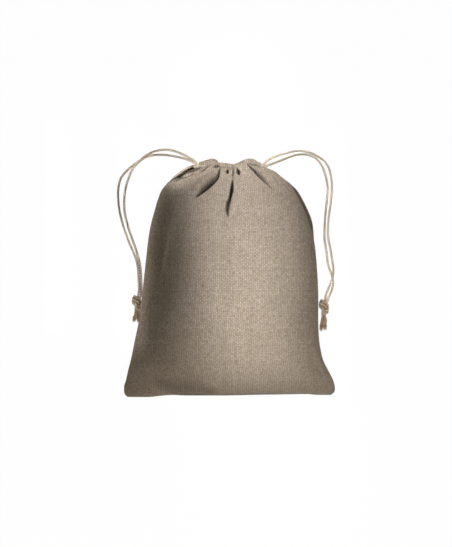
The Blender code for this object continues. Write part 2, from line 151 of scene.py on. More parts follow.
def running_length(points: Array, axis: int = 0) -> Array:
    """Length from the first point to each of the others along an axis."""
    steps = np.linalg.norm(np.diff(points, axis=axis), axis=-1)
    return np.insert(np.cumsum(steps, axis=axis), 0, 0.0, axis=axis)


def carried(first: Array, ahead: Array) -> Array:
    """Carry a direction along a line without twisting it.

    Args:
        first: the direction at the line's start.
        ahead: the line's own direction at each point.

    Returns:
        The carried direction at each point, of length 1.
    """
    aside = [first]
    for step in ahead[1:]:
        aside.append(unit(aside[-1] - step * aside[-1].dot(step)))
    return np.array(aside)


def highest_beside(values: Array, reach: int) -> Array:
    """Highest value within a reach on either side of each one."""
    padded = np.pad(values, reach, mode="edge")
    return np.lib.stride_tricks.sliding_window_view(padded, 2 * reach + 1).max(axis=1)


def smooth_route(route: Array, step: float) -> Array:
    """Lay even points along a smooth curve through a route's own points.

    Args:
        route: the points that the curve passes through.
        step: distance between the points that come back, in the same unit.

    Returns:
        The even points, one a row.
    """
    detail = 16
    route = np.asarray(route, float)
    ends = np.vstack((2 * route[0] - route[1], route, 2 * route[-1] - route[-2]))
    a, b, c, d = ends[:-3], ends[1:-2], ends[2:-1], ends[3:]
    t = (np.arange(detail) / detail)[None, :, None]
    a, b, c, d = (part[:, None, :] for part in (a, b, c, d))
    bend = (2 * a - 5 * b + 4 * c - d) * t**2 + (3 * b - a - 3 * c + d) * t**3
    fine = ((2 * b + (c - a) * t + bend) / 2).reshape(-1, route.shape[1])
    fine = np.vstack((fine, route[-1]))
    reach = running_length(fine)
    count = max(math.ceil(reach[-1] / step), 2)
    goals = np.linspace(0.0, reach[-1], count + 1)
    return np.stack([np.interp(goals, reach, fine[:, axis]) for axis in range(route.shape[1])], axis=1)


def add_object(name: str, points: Array, faces: list[list[int]], uv: Array, material: Material) -> Piece:
    """Add a smooth mesh object at the origin.

    Args:
        name: the piece's name.
        points: its points in metres.
        faces: its faces, as lists of point numbers.
        uv: one UV pair a point, in metres along the cloth or cord.
        material: its finish.

    Returns:
        The new object.
    """
    mesh = bpy.data.meshes.new(name)
    mesh.from_pydata(points.tolist(), [], faces)
    layer = mesh.uv_layers.new(name="UVMap")
    corners = np.zeros(len(mesh.loops), dtype=np.int32)
    mesh.loops.foreach_get("vertex_index", corners)
    layer.data.foreach_set("uv", uv[corners].astype(np.float32).ravel())
    mesh.materials.append(material)
    mesh.shade_smooth()
    mesh.update()
    item = bpy.data.objects.new(name, mesh)
    bpy.context.scene.collection.objects.link(item)
    LOG.info("%s: %d points, %d faces", name, len(mesh.vertices), len(mesh.polygons))
    return item


def set_attribute(item: Piece, name: str, values: Array) -> None:
    """Keep one number a point on a mesh, for its material to read."""
    layer = item.data.attributes.new(name, "FLOAT", "POINT")
    layer.data.foreach_set("value", values.astype(np.float32))


def belongs(piece: Piece, body: Body) -> None:
    """Tell the frame which body a piece rides."""
    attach(piece, body.value)


def grid_normals(grid: Array) -> Array:
    """Unit normals of a grid of points, along its columns' step crossed with its rows' step."""
    across = np.gradient(grid, axis=1)
    along = np.gradient(grid, axis=0)
    return unit(np.cross(across, along))


def grid_faces(rows: int, columns: int) -> Array:
    """Four-sided faces of a grid of points, each as point numbers."""
    first = (np.arange(rows - 1)[:, None] * columns + np.arange(columns - 1)[None, :]).ravel()
    return np.stack((first, first + 1, first + columns + 1, first + columns), axis=1)


def rim_numbers(number: Array) -> list[int]:
    """Point numbers round the rim of a grid, in order."""
    return np.concatenate((number[0, :-1], number[:-1, -1], number[-1, :0:-1], number[:0:-1, 0])).tolist()


def tube_faces(number: Array) -> list[list[int]]:
    """Four-sided faces of a tube, from the point numbers of its rings, one ring a row."""
    a, b = number[:-1], number[1:]
    return np.stack((a, np.roll(a, -1, axis=1), np.roll(b, -1, axis=1), b), axis=-1).reshape(-1, 4).tolist()


def closed_sheet(name: str, grid: Array, uv: Array, thickness: float, material: Material) -> Piece:
    """Add a sheet of cloth as one closed body.

    Args:
        name: the piece's name.
        grid: points of the sheet's outer side in metres, odd numbers of rows and columns, outward by the
            right-hand rule; the inner side has every other one of them.
        uv: a UV pair for each of them.
        thickness: of the cloth, laid inwards.
        material: its finish.

    Returns:
        The new object.
    """
    rows, columns, _ = grid.shape
    inner = (grid - thickness * grid_normals(grid))[::2, ::2]
    count = rows * columns
    outer_number = np.arange(count).reshape(rows, columns)
    inner_number = count + np.arange(inner.shape[0] * inner.shape[1]).reshape(inner.shape[:2])
    faces = grid_faces(rows, columns).tolist()
    faces += (grid_faces(*inner.shape[:2])[:, ::-1] + count).tolist()
    rim, lining = rim_numbers(outer_number), rim_numbers(inner_number)
    for spot in range(len(lining)):
        far = (spot + 1) % len(lining)
        faces.append([rim[2 * spot], lining[spot], lining[far], rim[2 * far], rim[2 * spot + 1]])
    points = np.vstack((grid.reshape(-1, 3), inner.reshape(-1, 3)))
    flat_uv = np.vstack((uv.reshape(-1, 2), uv[::2, ::2].reshape(-1, 2)))
    return add_object(name, points, faces, flat_uv, material)


@dataclass(frozen=True)
class Crease:
    """A fold pressed into the cloth along a line seen from above, in millimetres.

    A depth below 0 lifts a ridge. A lap above 0 draws the cloth left of the line over the fold, and one below
    0 the cloth right of it. The shade, from 0 to 1, is painted shade: how far the cloth's colour is darkened
    for the light lost between the fold's walls. The last values are alike for all folds: the step along the
    line, how many widths a fold reaches, the width of its ends, how fast depth and shade rise from them, and
    where the lip starts and ends.
    """

    line: Plan
    depth: float
    left: float
    right: float
    peak: float = 0.5
    sharpness: float = 1.8
    lap: float = 0.0
    shade: float = 0.0
    shade_reach: float = 1.25
    shade_sharpness: float = 2.6
    line_step: float = 0.5
    reach: float = 5.0
    end_width: float = 0.35
    depth_rise: float = 1.6
    shade_rise: float = 3.0
    lip_start: float = 2.0
    lip_reach: float = 4.0

    def press(self, x: Array, y: Array) -> tuple[Array, Array, Array]:
        """Find how the fold moves each point.

        Args:
            x: places across, in millimetres.
            y: places along, in millimetres.

        Returns:
            How deep each place is pressed, how far it is drawn along X and Y, and its painted shade.
        """
        line = smooth_route(np.array(self.line), self.line_step)
        share = np.linspace(0.0, 1.0, len(line))
        room = self.reach * max(self.left, self.right, abs(self.lap))
        low, high = line.min(axis=0) - room, line.max(axis=0) + room
        near = (x > low[0]) & (x < high[0]) & (y > low[1]) & (y < high[1])
        depth = np.zeros_like(x)
        shade = np.zeros_like(x)
        drawn = np.zeros((*x.shape, 2))
        spots = np.stack((x[near], y[near]), axis=1)
        gap = np.linalg.norm(spots[:, None, :] - line[None, :, :], axis=2)
        best = gap.argmin(axis=1)
        ahead = unit(np.gradient(line, axis=0))[best]
        aside = spots - line[best]
        on_right = ahead[:, 1] * aside[:, 0] - ahead[:, 0] * aside[:, 1] > 0
        where = share[best]
        taper = np.where(where < self.peak, where / self.peak, (1 - where) / (1 - self.peak))
        width = np.where(on_right, self.right, self.left)
        width = width * (self.end_width + (1 - self.end_width) * ease(taper))
        nearest = gap[np.arange(len(best)), best]
        strength = ease(self.depth_rise * taper)
        depth[near] = self.depth * strength * np.exp(-((nearest / width) ** self.sharpness))
        # painted shade: how far the fold darkens the cloth's colour, for the light lost between its walls
        dark = np.exp(-((nearest / (self.shade_reach * width)) ** self.shade_sharpness))
        shade[near] = self.shade * ease(self.shade_rise * taper) * dark
        if self.lap:
            on_lip = on_right == (self.lap < 0)
            lip = on_lip * ease(nearest / (self.lip_start * width))
            lip = lip * np.exp(-((nearest / (self.lip_reach * self.lap)) ** 2))
            toward = np.stack((ahead[:, 1], -ahead[:, 0]), axis=1)
            drawn[near] = self.lap * (strength * lip)[:, None] * toward
        return depth, drawn, shade


@dataclass(frozen=True)
class SlitEdge:
    """An edge of a cloth above its slit, from the side seam's end to the casing's end, in millimetres."""

    x: Profile
    y: Profile
    z: Profile

    def read(self, shares: Array) -> Array:
        """Points of the edge at shares from 0 at the slit's foot to 1 at the casing's fold."""
        return np.stack((self.x.read(shares), self.y.read(shares), self.z.read(shares)), axis=-1)


def slit_edge(*points: tuple[float, float, float, float]) -> SlitEdge:
    """Make a slit's edge from rows of a share along it and a point."""
    return SlitEdge(*(Profile(tuple((row[0], row[axis]) for row in points)) for axis in (1, 2, 3)))


@dataclass(frozen=True)
class ClothForm:
    """What differs between the front and the back cloth, in millimetres."""

    side: Side
    left: Profile
    right: Profile
    seam: Profile
    swell: Profile
    left_slit: SlitEdge
    right_slit: SlitEdge
    top: Profile
    creases: tuple[Crease, ...]
    columns: int


LEFT_OUTLINE = Profile((
    (-139.6, -121.2), (-136.5, -124.2), (-132.0, -125.2), (-126.3, -125.0), (-120.4, -123.0),
    (-108.6, -120.2), (-96.8, -117.0), (-73.2, -112.1), (-51.9, -107.4), (-14.2, -102.7), (18.9, -99.1),
    (56.6, -94.4), (80.2, -88.5), (92.0, -85.0), (103.8, -80.2), (112.0, -73.6),
))
RIGHT_LOWER: Plan = (
    (-139.6, 119.2), (-136.5, 123.0), (-132.0, 124.1), (-126.3, 123.3), (-120.4, 121.4), (-108.6, 115.6),
    (-96.8, 109.9), (-87.3, 107.4), (-73.2, 105.0), (-55.5, 103.9), (-14.2, 103.6), (21.2, 101.5),
)
FRONT_RIGHT_OUTLINE = Profile((
    *RIGHT_LOWER, (44.8, 98.6), (66.1, 92.6), (77.9, 88.2), (88.5, 83.4), (97.9, 78.6), (112.0, 70.2),
))
BACK_RIGHT_OUTLINE = Profile((
    *RIGHT_LOWER, (44.8, 99.3), (68.4, 96.4), (80.2, 92.0), (92.0, 86.1), (103.8, 79.0), (112.0, 70.6),
))
NOTCHES = (-8.9, -1.9, 3.6, 9.6)
BACK_FOLDS = ((-29.0, 3.0), (-21.0, 4.2), (-12.5, 3.4), (-3.0, 5.0), (6.5, 3.6), (14.0, 4.4), (24.0, 3.6))
FRONT_FORM = ClothForm(
    side=Side.FRONT,
    left=LEFT_OUTLINE,
    right=FRONT_RIGHT_OUTLINE,
    seam=FRONT_RIGHT_OUTLINE,
    swell=Profile((
        (-139.6, 60.0), (-95.0, 60.0), (-36.0, 66.0), (58.0, 54.5), (97.0, 33.5), (112.0, 24.0),
        (124.5, 16.0), (140.0, 16.0),
    )),
    left_slit=slit_edge(
        (0.0, -73.6, 112.0, 30.2), (0.2, -64.9, 115.6, 40.0), (0.4, -53.1, 119.2, 48.0),
        (0.6, -43.5, 121.8, 51.0), (0.75, -36.8, 124.0, 50.0), (0.88, -31.2, 128.8, 47.5),
        (1.0, -25.0, 134.0, 44.0),
    ),
    right_slit=slit_edge(
        (0.0, 70.2, 112.0, 30.2), (0.25, 64.3, 116.2, 39.0), (0.5, 56.6, 122.1, 45.0),
        (0.75, 47.2, 127.0, 47.0), (0.9, 40.1, 129.6, 45.5), (1.0, 36.5, 130.0, 43.0),
    ),
    top=Profile((
        (-25.0, 139.4), (-22.4, 140.2), (-18.9, 140.1), (-14.2, 138.0), (-9.4, 135.4), (-4.7, 135.6),
        (0.0, 134.9), (4.7, 134.6), (9.4, 135.7), (14.2, 138.0), (18.9, 139.7), (23.6, 140.4),
        (28.3, 139.6), (33.0, 136.9), (36.5, 135.1),
    )),
    # the shade of each fold below is painted shade in the cloth's colour
    creases=(
        Crease(
            ((-10.4, 133.5), (-11.6, 127.0), (-13.4, 119.4), (-17.6, 113.4), (-23.8, 107.2), (-29.4, 102.2),
             (-36.6, 96.4), (-42.0, 91.8)),
            6.0, 1.4, 3.2, peak=0.6, lap=0.5, shade=1.0, shade_sharpness=2.4,
        ),
        Crease(
            ((-14.5, 129.0), (-19.5, 121.5), (-25.5, 114.8), (-33.0, 108.8), (-42.0, 102.5), (-52.0, 96.0)),
            -5.5, 7.0, 6.5,
        ),
        Crease(
            ((3.4, 118.5), (2.1, 109.7), (1.4, 103.8), (0.0, 96.8), (-1.9, 88.5), (-2.8, 82.6)),
            13.0, 2.1, 1.6, peak=0.38, sharpness=3.0, lap=-1.2, shade=0.98, shade_sharpness=5.0,
        ),
        Crease(
            ((0.6, 101.5), (-0.5, 94.4), (-2.2, 87.3), (-3.1, 80.2), (-2.7, 74.3), (-1.9, 69.0)),
            5.0, 2.2, 2.0, peak=0.4, sharpness=2.6, shade=0.85,
        ),
        Crease(((4.1, 131.5), (4.0, 126.0), (3.4, 120.0), (2.8, 116.0)), 3.0, 0.9, 0.9, shade=0.5),
        Crease(((-2.9, 127.9), (-2.9, 125.1), (-2.7, 121.8)), 8.0, 1.3, 1.3, sharpness=2.5, shade=0.95),
        Crease(((8.4, 128.9), (10.0, 124.6), (11.6, 120.4)), 8.0, 1.3, 1.5, sharpness=2.5, shade=0.95),
        Crease(
            ((22.0, 131.6), (25.5, 128.2), (30.5, 122.8), (39.2, 114.2), (43.5, 110.0), (49.5, 103.5)),
            7.0, 2.0, 1.1, lap=-0.8, shade=0.95, shade_reach=1.0,
        ),
        Crease(
            ((19.0, 136.0), (22.0, 131.6), (25.5, 128.2), (30.5, 122.8), (36.0, 117.4)),
            1.6, 1.0, 1.0, shade=0.9,
        ),
        Crease(((29.5, 131.0), (36.5, 124.5), (45.0, 118.0), (51.0, 113.5), (58.0, 107.5)), -4.5, 4.6, 4.6),
        Crease(((-20.5, 130.0), (-15.0, 131.2), (-9.5, 134.2)), 1.8, 1.3, 1.8, shade=0.8),
        Crease(((19.0, 134.5), (25.0, 133.6), (31.0, 131.8), (36.0, 129.8)), 1.6, 1.0, 1.0, shade=0.45),
        Crease(((10.5, 132.0), (14.0, 134.4), (19.5, 136.6)), 2.0, 0.9, 0.9, shade=0.6),
        Crease(((-13.0, 128.6), (-6.0, 129.6), (4.0, 129.0), (12.0, 129.2)), 1.0, 1.2, 1.2, shade=0.3),
        *(Crease(((at, 136.0), (at + 0.2, 133.4), (at, 130.6)), 1.6, 0.8, 0.8, shade=0.75) for at in NOTCHES),
        Crease(
            ((-56.0, 108.0), (-63.0, 97.0), (-65.5, 86.0), (-70.0, 68.0), (-76.0, 45.0), (-79.0, 21.0),
             (-83.0, -10.0)),
            3.2, 6.5, 12.0, peak=0.35,
        ),
        # a shallow dip whose darker colour at the lower left is painted shade
        Crease(
            ((-92.0, -114.0), (-78.0, -124.0), (-60.0, -130.0), (-38.0, -133.0), (-8.0, -134.0)),
            1.4, 8.0, 8.0, shade=0.34, shade_reach=1.5, shade_sharpness=2.0,
        ),
        # no fold: a line of painted shade along the bottom edge, where the cloth meets the floor
        Crease(
            ((-84.0, -139.6), (-58.0, -138.4), (-10.0, -139.0), (50.0, -137.8), (90.0, -137.2),
             (104.0, -138.2)),
            0.0, 1.5, 1.5, shade=0.5,
        ),
        Crease(((92.0, -80.0), (101.0, -100.0), (112.0, -118.0)), 2.5, 6.0, 6.0),
    ),
    columns=321,
)
BACK_FORM = ClothForm(
    side=Side.BACK,
    left=LEFT_OUTLINE,
    right=BACK_RIGHT_OUTLINE,
    seam=FRONT_RIGHT_OUTLINE,
    swell=Profile((
        (-139.6, 52.0), (-36.0, 52.0), (58.0, 50.0), (97.0, 33.0), (112.0, 23.0), (124.5, 15.2),
        (140.0, 15.2),
    )),
    left_slit=slit_edge(
        (0.0, -73.6, 112.0, 30.0), (0.2, -68.2, 118.0, 36.0), (0.4, -60.6, 124.2, 39.0),
        (0.6, -51.6, 129.8, 37.0), (0.8, -43.4, 132.4, 28.0), (1.0, -36.5, 131.0, 16.5),
    ),
    right_slit=slit_edge(
        (0.0, 70.2, 112.0, 30.0), (0.25, 62.5, 115.6, 28.0), (0.5, 54.5, 120.4, 24.0),
        (0.75, 45.0, 125.4, 20.0), (1.0, 36.0, 128.5, 16.5),
    ),
    top=Profile((
        (-36.5, 136.6), (-29.5, 139.0), (-23.6, 140.2), (-17.7, 138.8), (-10.0, 135.0), (0.0, 133.8),
        (18.0, 135.0), (36.0, 133.8),
    )),
    creases=tuple(
        Crease(
            ((at, 132.0), (1.25 * at, 118.0), (1.7 * at, 104.0), (2.2 * at, 90.0)), deep, 1.4, 2.6, peak=0.35,
        )
        for at, deep in BACK_FOLDS
    ),
    columns=161,
)


@dataclass
class Pouch:
    """The two cloths of the pouch, each one panel with its casing folded over at the mouth; millimetres."""

    thickness: float = 0.6
    bottom: float = -139.6
    foot_end: float = -112.0
    shoulder_start: float = 60.0
    slit_start: float = 112.0
    neck_end: float = 126.0
    foot_reach: float = 45.0
    body_power: float = 2.0
    neck_power_gain: float = 2.0
    body_fullness: float = 0.42
    neck_fullness_gain: float = 0.08
    body_rounding: float = 70.0
    floor_rounding: float = 6.0
    floor_clearance: float = 0.1
    seam_gap: float = 0.3
    casing_radius: float = 5.2
    hem_end: float = 124.6
    hem_seat: float = 2.2
    seat_start: float = 0.5
    hem_room: float = 2.5
    hem_columns: int = 12
    seam_inset: float = 0.8
    roll_radius: float = 2.2
    roll_rise: float = 0.9
    roll_crease_at: float = 4.6
    roll_crease_depth: float = 2.8
    roll_crease_width: float = 1.5
    # painted shade in the crease of each slit's hem
    roll_crease_shade: float = 0.9
    right_roll: float = 0.15
    roll_rate: float = 5.0
    roll_end: float = 0.75
    roll_fade: float = 0.9
    stitch_shade: float = 0.3
    stitch_columns: int = 9
    turn_start: float = 0.95
    # painted shade on the band of the back cloth that turns under past the seam
    turn_shade: float = 0.6
    turn_rate: float = 2.0
    bulge_room: float = 0.6
    band_room: float = 2.5
    ear_start: float = 0.60
    ear_height: float = 46.0
    ear_flatness: float = 0.62
    ruffle_depth: float = 0.8
    ruffle_pitch: float = 3.5
    ruffle_reach: float = 13.0
    ruffle_start: float = 128.0
    rumple_depth: float = 0.5
    rumple_scale: float = 0.034
    rumple_seed: float = 7.0
    rumple_rise: float = 20.0
    rumple_calm: float = 8.0
    foot_rows: int = 28
    body_rows: int = 48
    shoulder_rows: int = 78
    neck_rows: int = 60
    fold_rows: int = 14
    hem_rows: int = 13
    foot_line: Profile = Profile((
        (-1.0, -1.1), (-0.886, -1.2), (-0.77, -1.1), (-0.66, 0.4), (-0.545, 1.2), (-0.43, 0.6), (-0.09, 0.6),
        (0.25, 1.4), (0.48, 1.8), (0.763, 2.3), (0.877, 1.3), (1.0, 1.3),
    ))
    seam_lift: Profile = Profile((
        (-139.6, 10.0), (-95.0, 24.0), (-36.0, 37.0), (58.0, 37.0), (97.0, 33.0), (124.0, 28.0),
    ))

    def levels(self) -> Array:
        """Space the rows of a cloth's body, close together at the bottom.

        Returns:
            Their places along Y, from the bottom seam to the slits.
        """
        quarter = np.pi / 2 * np.arange(self.foot_rows) / self.foot_rows
        foot = self.bottom + (self.foot_end - self.bottom) * (1 - np.cos(quarter))
        body = np.linspace(self.foot_end, self.shoulder_start, self.body_rows, endpoint=False)
        shoulder = np.linspace(self.shoulder_start, self.slit_start, self.shoulder_rows, endpoint=False)
        return np.concatenate((foot, body, shoulder))

    def neck_share(self, y: Array) -> Array:
        """How much places along Y belong to the neck, from 0 in the body to 1."""
        return ease((y - self.shoulder_start) / (self.neck_end - self.shoulder_start))

    def places(self, y: Array, columns: int) -> Array:
        """Spread a cloth's columns, close together at the sides of the body and even in the neck.

        Args:
            y: the rows' places along Y.
            columns: how many columns there are.

        Returns:
            Place of each column of each row, from -1 to 1.
        """
        share = np.linspace(0.0, 1.0, columns)[None, :]
        neck = self.neck_share(y)[:, None]
        return -np.cos(np.pi * share) * (1 - neck) + (2 * share - 1) * neck

    def section(self, y: Array, place: Array) -> Array:
        """Shape of the cross-section.

        Args:
            y: places along Y.
            place: places across, from -1 to 1.

        Returns:
            The swell there, from 0 at the seams to 1.
        """
        neck = self.neck_share(y)
        power = self.body_power + self.neck_power_gain * neck
        fullness = self.body_fullness + self.neck_fullness_gain * neck
        return np.maximum(1 - np.abs(place) ** power, 0.0) ** fullness

    def body_grid(self, form: ClothForm) -> Array:
        """Lay a cloth from the bottom seam to the slits.

        Args:
            form: the cloth's own shape.

        Returns:
            Its points, smooth, by row and column.
        """
        y = self.levels()
        place = self.places(y, form.columns)
        left, right = form.left.read(y)[:, None], form.right.read(y)[:, None]
        over = right - form.seam.read(y)[:, None]
        bulge = np.clip(over / self.bulge_room, 0.0, 1.0) * (place > 0)
        spread = place + bulge * (np.minimum(place / self.turn_start, 1.0) - place)
        x = (left + right) / 2 + (right - left) / 2 * spread
        x = x - over * ease((place - self.turn_start) / (1 - self.turn_start))
        level = np.broadcast_to(y[:, None], x.shape)
        left_over = np.maximum(1 - (level - self.bottom) / self.body_rounding, 0.0)
        ear = ease((np.abs(place) - self.ear_start) / (1 - self.ear_start))
        ear = ear * ease(1 - (level - self.bottom) / self.ear_height)
        swell = form.swell.read(level) * np.sqrt(1 - left_over**2) * self.section(level, place)
        swell = swell * (1 - self.ear_flatness * ear)
        z = self.seam_lift.read(level) + form.side.value * (self.seam_gap + swell)
        wave = self.foot_line.read(place) * ease(1 - (level - self.bottom) / self.foot_reach)
        return np.stack((x, level + wave, z), axis=-1)

    def neck_grid(self, form: ClothForm) -> Array:
        """Lay a cloth beside the slits, up to the casing's fold.

        Args:
            form: the cloth's own shape.

        Returns:
            Its points, smooth, by row and column.
        """
        share = np.linspace(0.0, 1.0, self.neck_rows)
        left, right = form.left_slit.read(share)[:, None, :], form.right_slit.read(share)[:, None, :]
        middle = (left[:, 0, 1] + right[:, 0, 1]) / 2
        place = self.places(middle, form.columns)
        across = ((place + 1) / 2)[:, :, None]
        edge = left + (right - left) * across
        x, y = edge[:, :, 0], edge[:, :, 1].copy()
        goal = form.top.read(x[-1]) - self.casing_radius
        y += (share**2)[:, None] * (goal - y[-1])[None, :]
        crown = self.seam_lift.read(y) + form.side.value * (self.seam_gap + form.swell.read(y))
        z = edge[:, :, 2] + (crown - edge[:, :, 2]) * self.section(y, place)
        return np.stack((x, y, z), axis=-1)

    def roll_edges(self, neck: Array) -> tuple[Array, Array]:
        """Roll the cloth's edges over along the slits and press the crease of their hems.

        Args:
            neck: rows beside the slits.

        Returns:
            How far each point moves against the cloth's outer side, and the painted shade of the creases.
        """
        from_left = running_length(neck[:, :, :2], axis=1)
        from_right = from_left[:, -1:] - from_left
        climb = np.linspace(0.0, 1.0, len(neck))[:, None]
        fade = self.roll_fade * ease((climb - self.roll_end) / (1 - self.roll_end))
        strength = ease(climb * self.roll_rate) * (1 - fade)
        depth = np.zeros_like(from_left)
        shade = np.zeros_like(from_left)
        for gap, share in ((from_left, 1.0), (from_right, self.right_roll)):
            inside = np.clip(self.roll_radius - gap, 0.0, self.roll_radius)
            depth += share * (self.roll_radius - np.sqrt(self.roll_radius**2 - inside**2))
            groove = share * np.exp(-(((gap - self.roll_crease_at) / self.roll_crease_width) ** 2))
            depth += self.roll_crease_depth * groove
            # painted shade in the hem's crease groove
            shade += self.roll_crease_shade * groove
            depth -= share * self.roll_rise * np.exp(-((gap / self.roll_radius - 1) ** 2))
        return depth * strength, shade * strength

    def ruffle(self, grid: Array) -> Array:
        """Gather the middle of the casing in small waves.

        Args:
            grid: the cloth up to the casing's fold.

        Returns:
            How deep each of its points is pressed.
        """
        x, y = grid[:, :, 0], grid[:, :, 1]
        inward = ease(2 - 2 * np.abs(x) / self.ruffle_reach)
        share = ease((y - self.ruffle_start) / self.casing_radius) * inward
        return self.ruffle_depth * share * np.cos(2 * np.pi * x / self.ruffle_pitch)

    def rumple(self, grid: Array, form: ClothForm) -> Array:
        """Rumple the cloth softly, away from its seams.

        Args:
            grid: the cloth up to the casing's fold.
            form: the cloth's own shape.

        Returns:
            How deep each of its points is pressed.
        """
        scale = self.rumple_scale
        seed = form.side.value * self.rumple_seed
        spots = grid[:, :, :2].reshape(-1, 2)
        waves = np.array([noise.noise((x * scale, y * scale, seed)) for x, y in spots])
        edge = np.linspace(-1.0, 1.0, form.columns)[None, :]
        calm = ease((grid[:, :, 1] - self.bottom) / self.rumple_rise)
        calm = calm * ease((1 - np.abs(edge)) * self.rumple_calm)
        return self.rumple_depth * waves.reshape(grid.shape[:2]) * calm

    def hem_depth(self, neck: Array, depth: Array, drawn: Array) -> Array:
        """Find how far the casing's seam goes in with the folds in front of it.

        Args:
            neck: rows beside the slits.
            depth: how deep each of their points is pressed.
            drawn: how far each of them is drawn along X and Y.

        Returns:
            The seam's depth at each column.
        """
        hidden = np.where(neck[:, :, 1] > self.hem_end - self.hem_room, depth, 0.0)
        across = neck[:, :, 0] + drawn[:, :, 0]
        over_hem = [np.interp(neck[-1, :, 0], np.sort(x), deep) for x, deep in zip(across, hidden)]
        return highest_beside(np.max(over_hem, axis=0), self.hem_columns)

    def fold_grid(self, neck: Array, side: Side) -> Array:
        """Lay a cloth over the casing's fold and down its inner side to the casing's seam.

        Args:
            neck: rows beside the slits.
            side: which cloth it is.

        Returns:
            Its points, smooth, by row and column.
        """
        start = neck[-1]
        sign = side.value
        radius = self.casing_radius
        rows = []
        for angle in np.pi * np.arange(1, self.fold_rows + 1) / self.fold_rows:
            lift = np.array((0.0, radius * math.sin(angle), -sign * radius * (1 - math.cos(angle))))
            rows.append(start + lift)
        for share in np.arange(1, self.hem_rows + 1) / self.hem_rows:
            row = start.copy()
            row[:, 1] += (self.hem_end - start[:, 1]) * share
            seat = float(ease(np.array((share - self.seat_start) / (1 - self.seat_start))))
            row[:, 2] -= sign * (2 * radius - (2 * radius - self.hem_seat) * seat)
            rows.append(row)
        return np.stack(rows)

    def press(self, grid: Array, neck_first: int, fold_first: int, form: ClothForm) -> tuple[Array, Array]:
        """Press the creases and soft rumples into a cloth.

        Args:
            grid: the whole cloth, smooth.
            neck_first: number of its first row beside the slits.
            fold_first: number of its first row over the casing's fold.
            form: the cloth's own shape.

        Returns:
            The cloth with its folds, and the painted shade at each of its points.
        """
        sign = form.side.value
        open_part = grid[:fold_first]
        depth = np.zeros(open_part.shape[:2])
        shade = np.zeros(grid.shape[:2])
        drawn = np.zeros((*depth.shape, 2))
        for crease in form.creases:
            deep, aside, dark = crease.press(open_part[:, :, 0], open_part[:, :, 1])
            depth = depth + deep
            drawn = drawn + aside
            shade[:fold_first] = np.maximum(shade[:fold_first], dark)
        rolled, dark = self.roll_edges(open_part[neck_first:])
        depth[neck_first:] += rolled
        shade[neck_first:fold_first] = np.maximum(shade[neck_first:fold_first], dark)
        depth = depth + self.ruffle(open_part)
        depth = depth + self.rumple(open_part, form)
        sewn = self.hem_depth(open_part[neck_first:], depth[neck_first:], drawn[neck_first:])
        fade = np.cos(np.pi / 2 * np.linspace(0.0, 1.0, len(grid) - fold_first + 1)[1:]) ** 2
        depth = np.vstack((depth, depth[-1][None, :] * fade[:, None]))
        drawn = np.concatenate((drawn, drawn[-1][None, :, :] * fade[:, None, None]))
        pressed = grid - depth[:, :, None] * grid_normals(grid) * sign
        pressed[:, :, :2] += drawn
        share = ease(np.linspace(0.0, 1.0, self.hem_rows + 1)[1:])[:, None]
        pressed[-self.hem_rows:, :, 2] -= sign * sewn * share
        return pressed, shade

    def stitch_lines(self, smooth: Array, pressed: Array, shade: Array, first: int, last: int) -> list[Array]:
        """Find where the sewing thread shows.

        Args:
            smooth: the cloth before its folds were pressed.
            pressed: the cloth with its folds.
            shade: the painted shade at each of its points.
            first: number of its first row beside the slits.
            last: number of its first row over the casing's fold.

        Returns:
            Points along the casing's seam between its folds and along the hem of each slit.
        """
        level = smooth[first:last, :, 1]
        column = np.arange(level.shape[1])
        row = first + np.clip((level < self.hem_end + self.seam_inset).sum(axis=0), 1, len(level) - 1)
        shown = highest_beside(shade[row, column], self.stitch_columns) < self.stitch_shade
        runs = np.split(column, np.flatnonzero(np.diff(shown)) + 1)
        lines = [pressed[row[run], run] for run in runs if shown[run[0]] and len(run) > self.stitch_columns]
        reach = running_length(smooth[first:last, :, :2], axis=1)
        rows = np.arange(first, last)
        for hem in (self.roll_crease_at, reach[:, -1:] - self.roll_crease_at):
            lines.append(pressed[rows, (reach < hem).sum(axis=1)])
        return lines

    def spread(self, smooth: Array) -> Array:
        """Measure along a cloth from the middle of its bottom seam.

        Args:
            smooth: the cloth before its folds were pressed.

        Returns:
            A UV pair for each of its points, in millimetres.
        """
        middle = smooth.shape[1] // 2
        u = running_length(smooth[:, :, ::2], axis=1)
        u = u - u[:, middle:middle + 1]
        reach = running_length(smooth[:, middle])[:, None]
        back = np.where(np.arange(len(smooth)) < len(smooth) - self.hem_rows, 1.0, -1.0)[:, None]
        v = reach + back * (smooth[:, :, 1] - smooth[:, middle:middle + 1, 1])
        return np.stack((u, v), axis=-1)

    def turned(self, form: ClothForm) -> Array:
        """Painted shade where a cloth that reaches past the seam turns under.

        Args:
            form: the cloth's own shape.

        Returns:
            The painted shade at each point below the slits.
        """
        levels = self.levels()
        past = np.clip((form.right.read(levels) - form.seam.read(levels)) / self.band_room, 0.0, 1.0)[:, None]
        place = self.places(levels, form.columns)
        under = ease((place - self.turn_start) / (1 - self.turn_start) * self.turn_rate)
        return self.turn_shade * past * under

    def laid(self, heights: Array) -> Array:
        """Lay a cloth softly on the floor.

        Args:
            heights: of its points.

        Returns:
            Their heights once it lies there.
        """
        over = heights - self.floor_clearance
        soft = np.clip(over + self.floor_rounding, 0.0, 2 * self.floor_rounding)
        flat = np.where(over >= self.floor_rounding, over, soft**2 / (4 * self.floor_rounding))
        return self.floor_clearance + flat

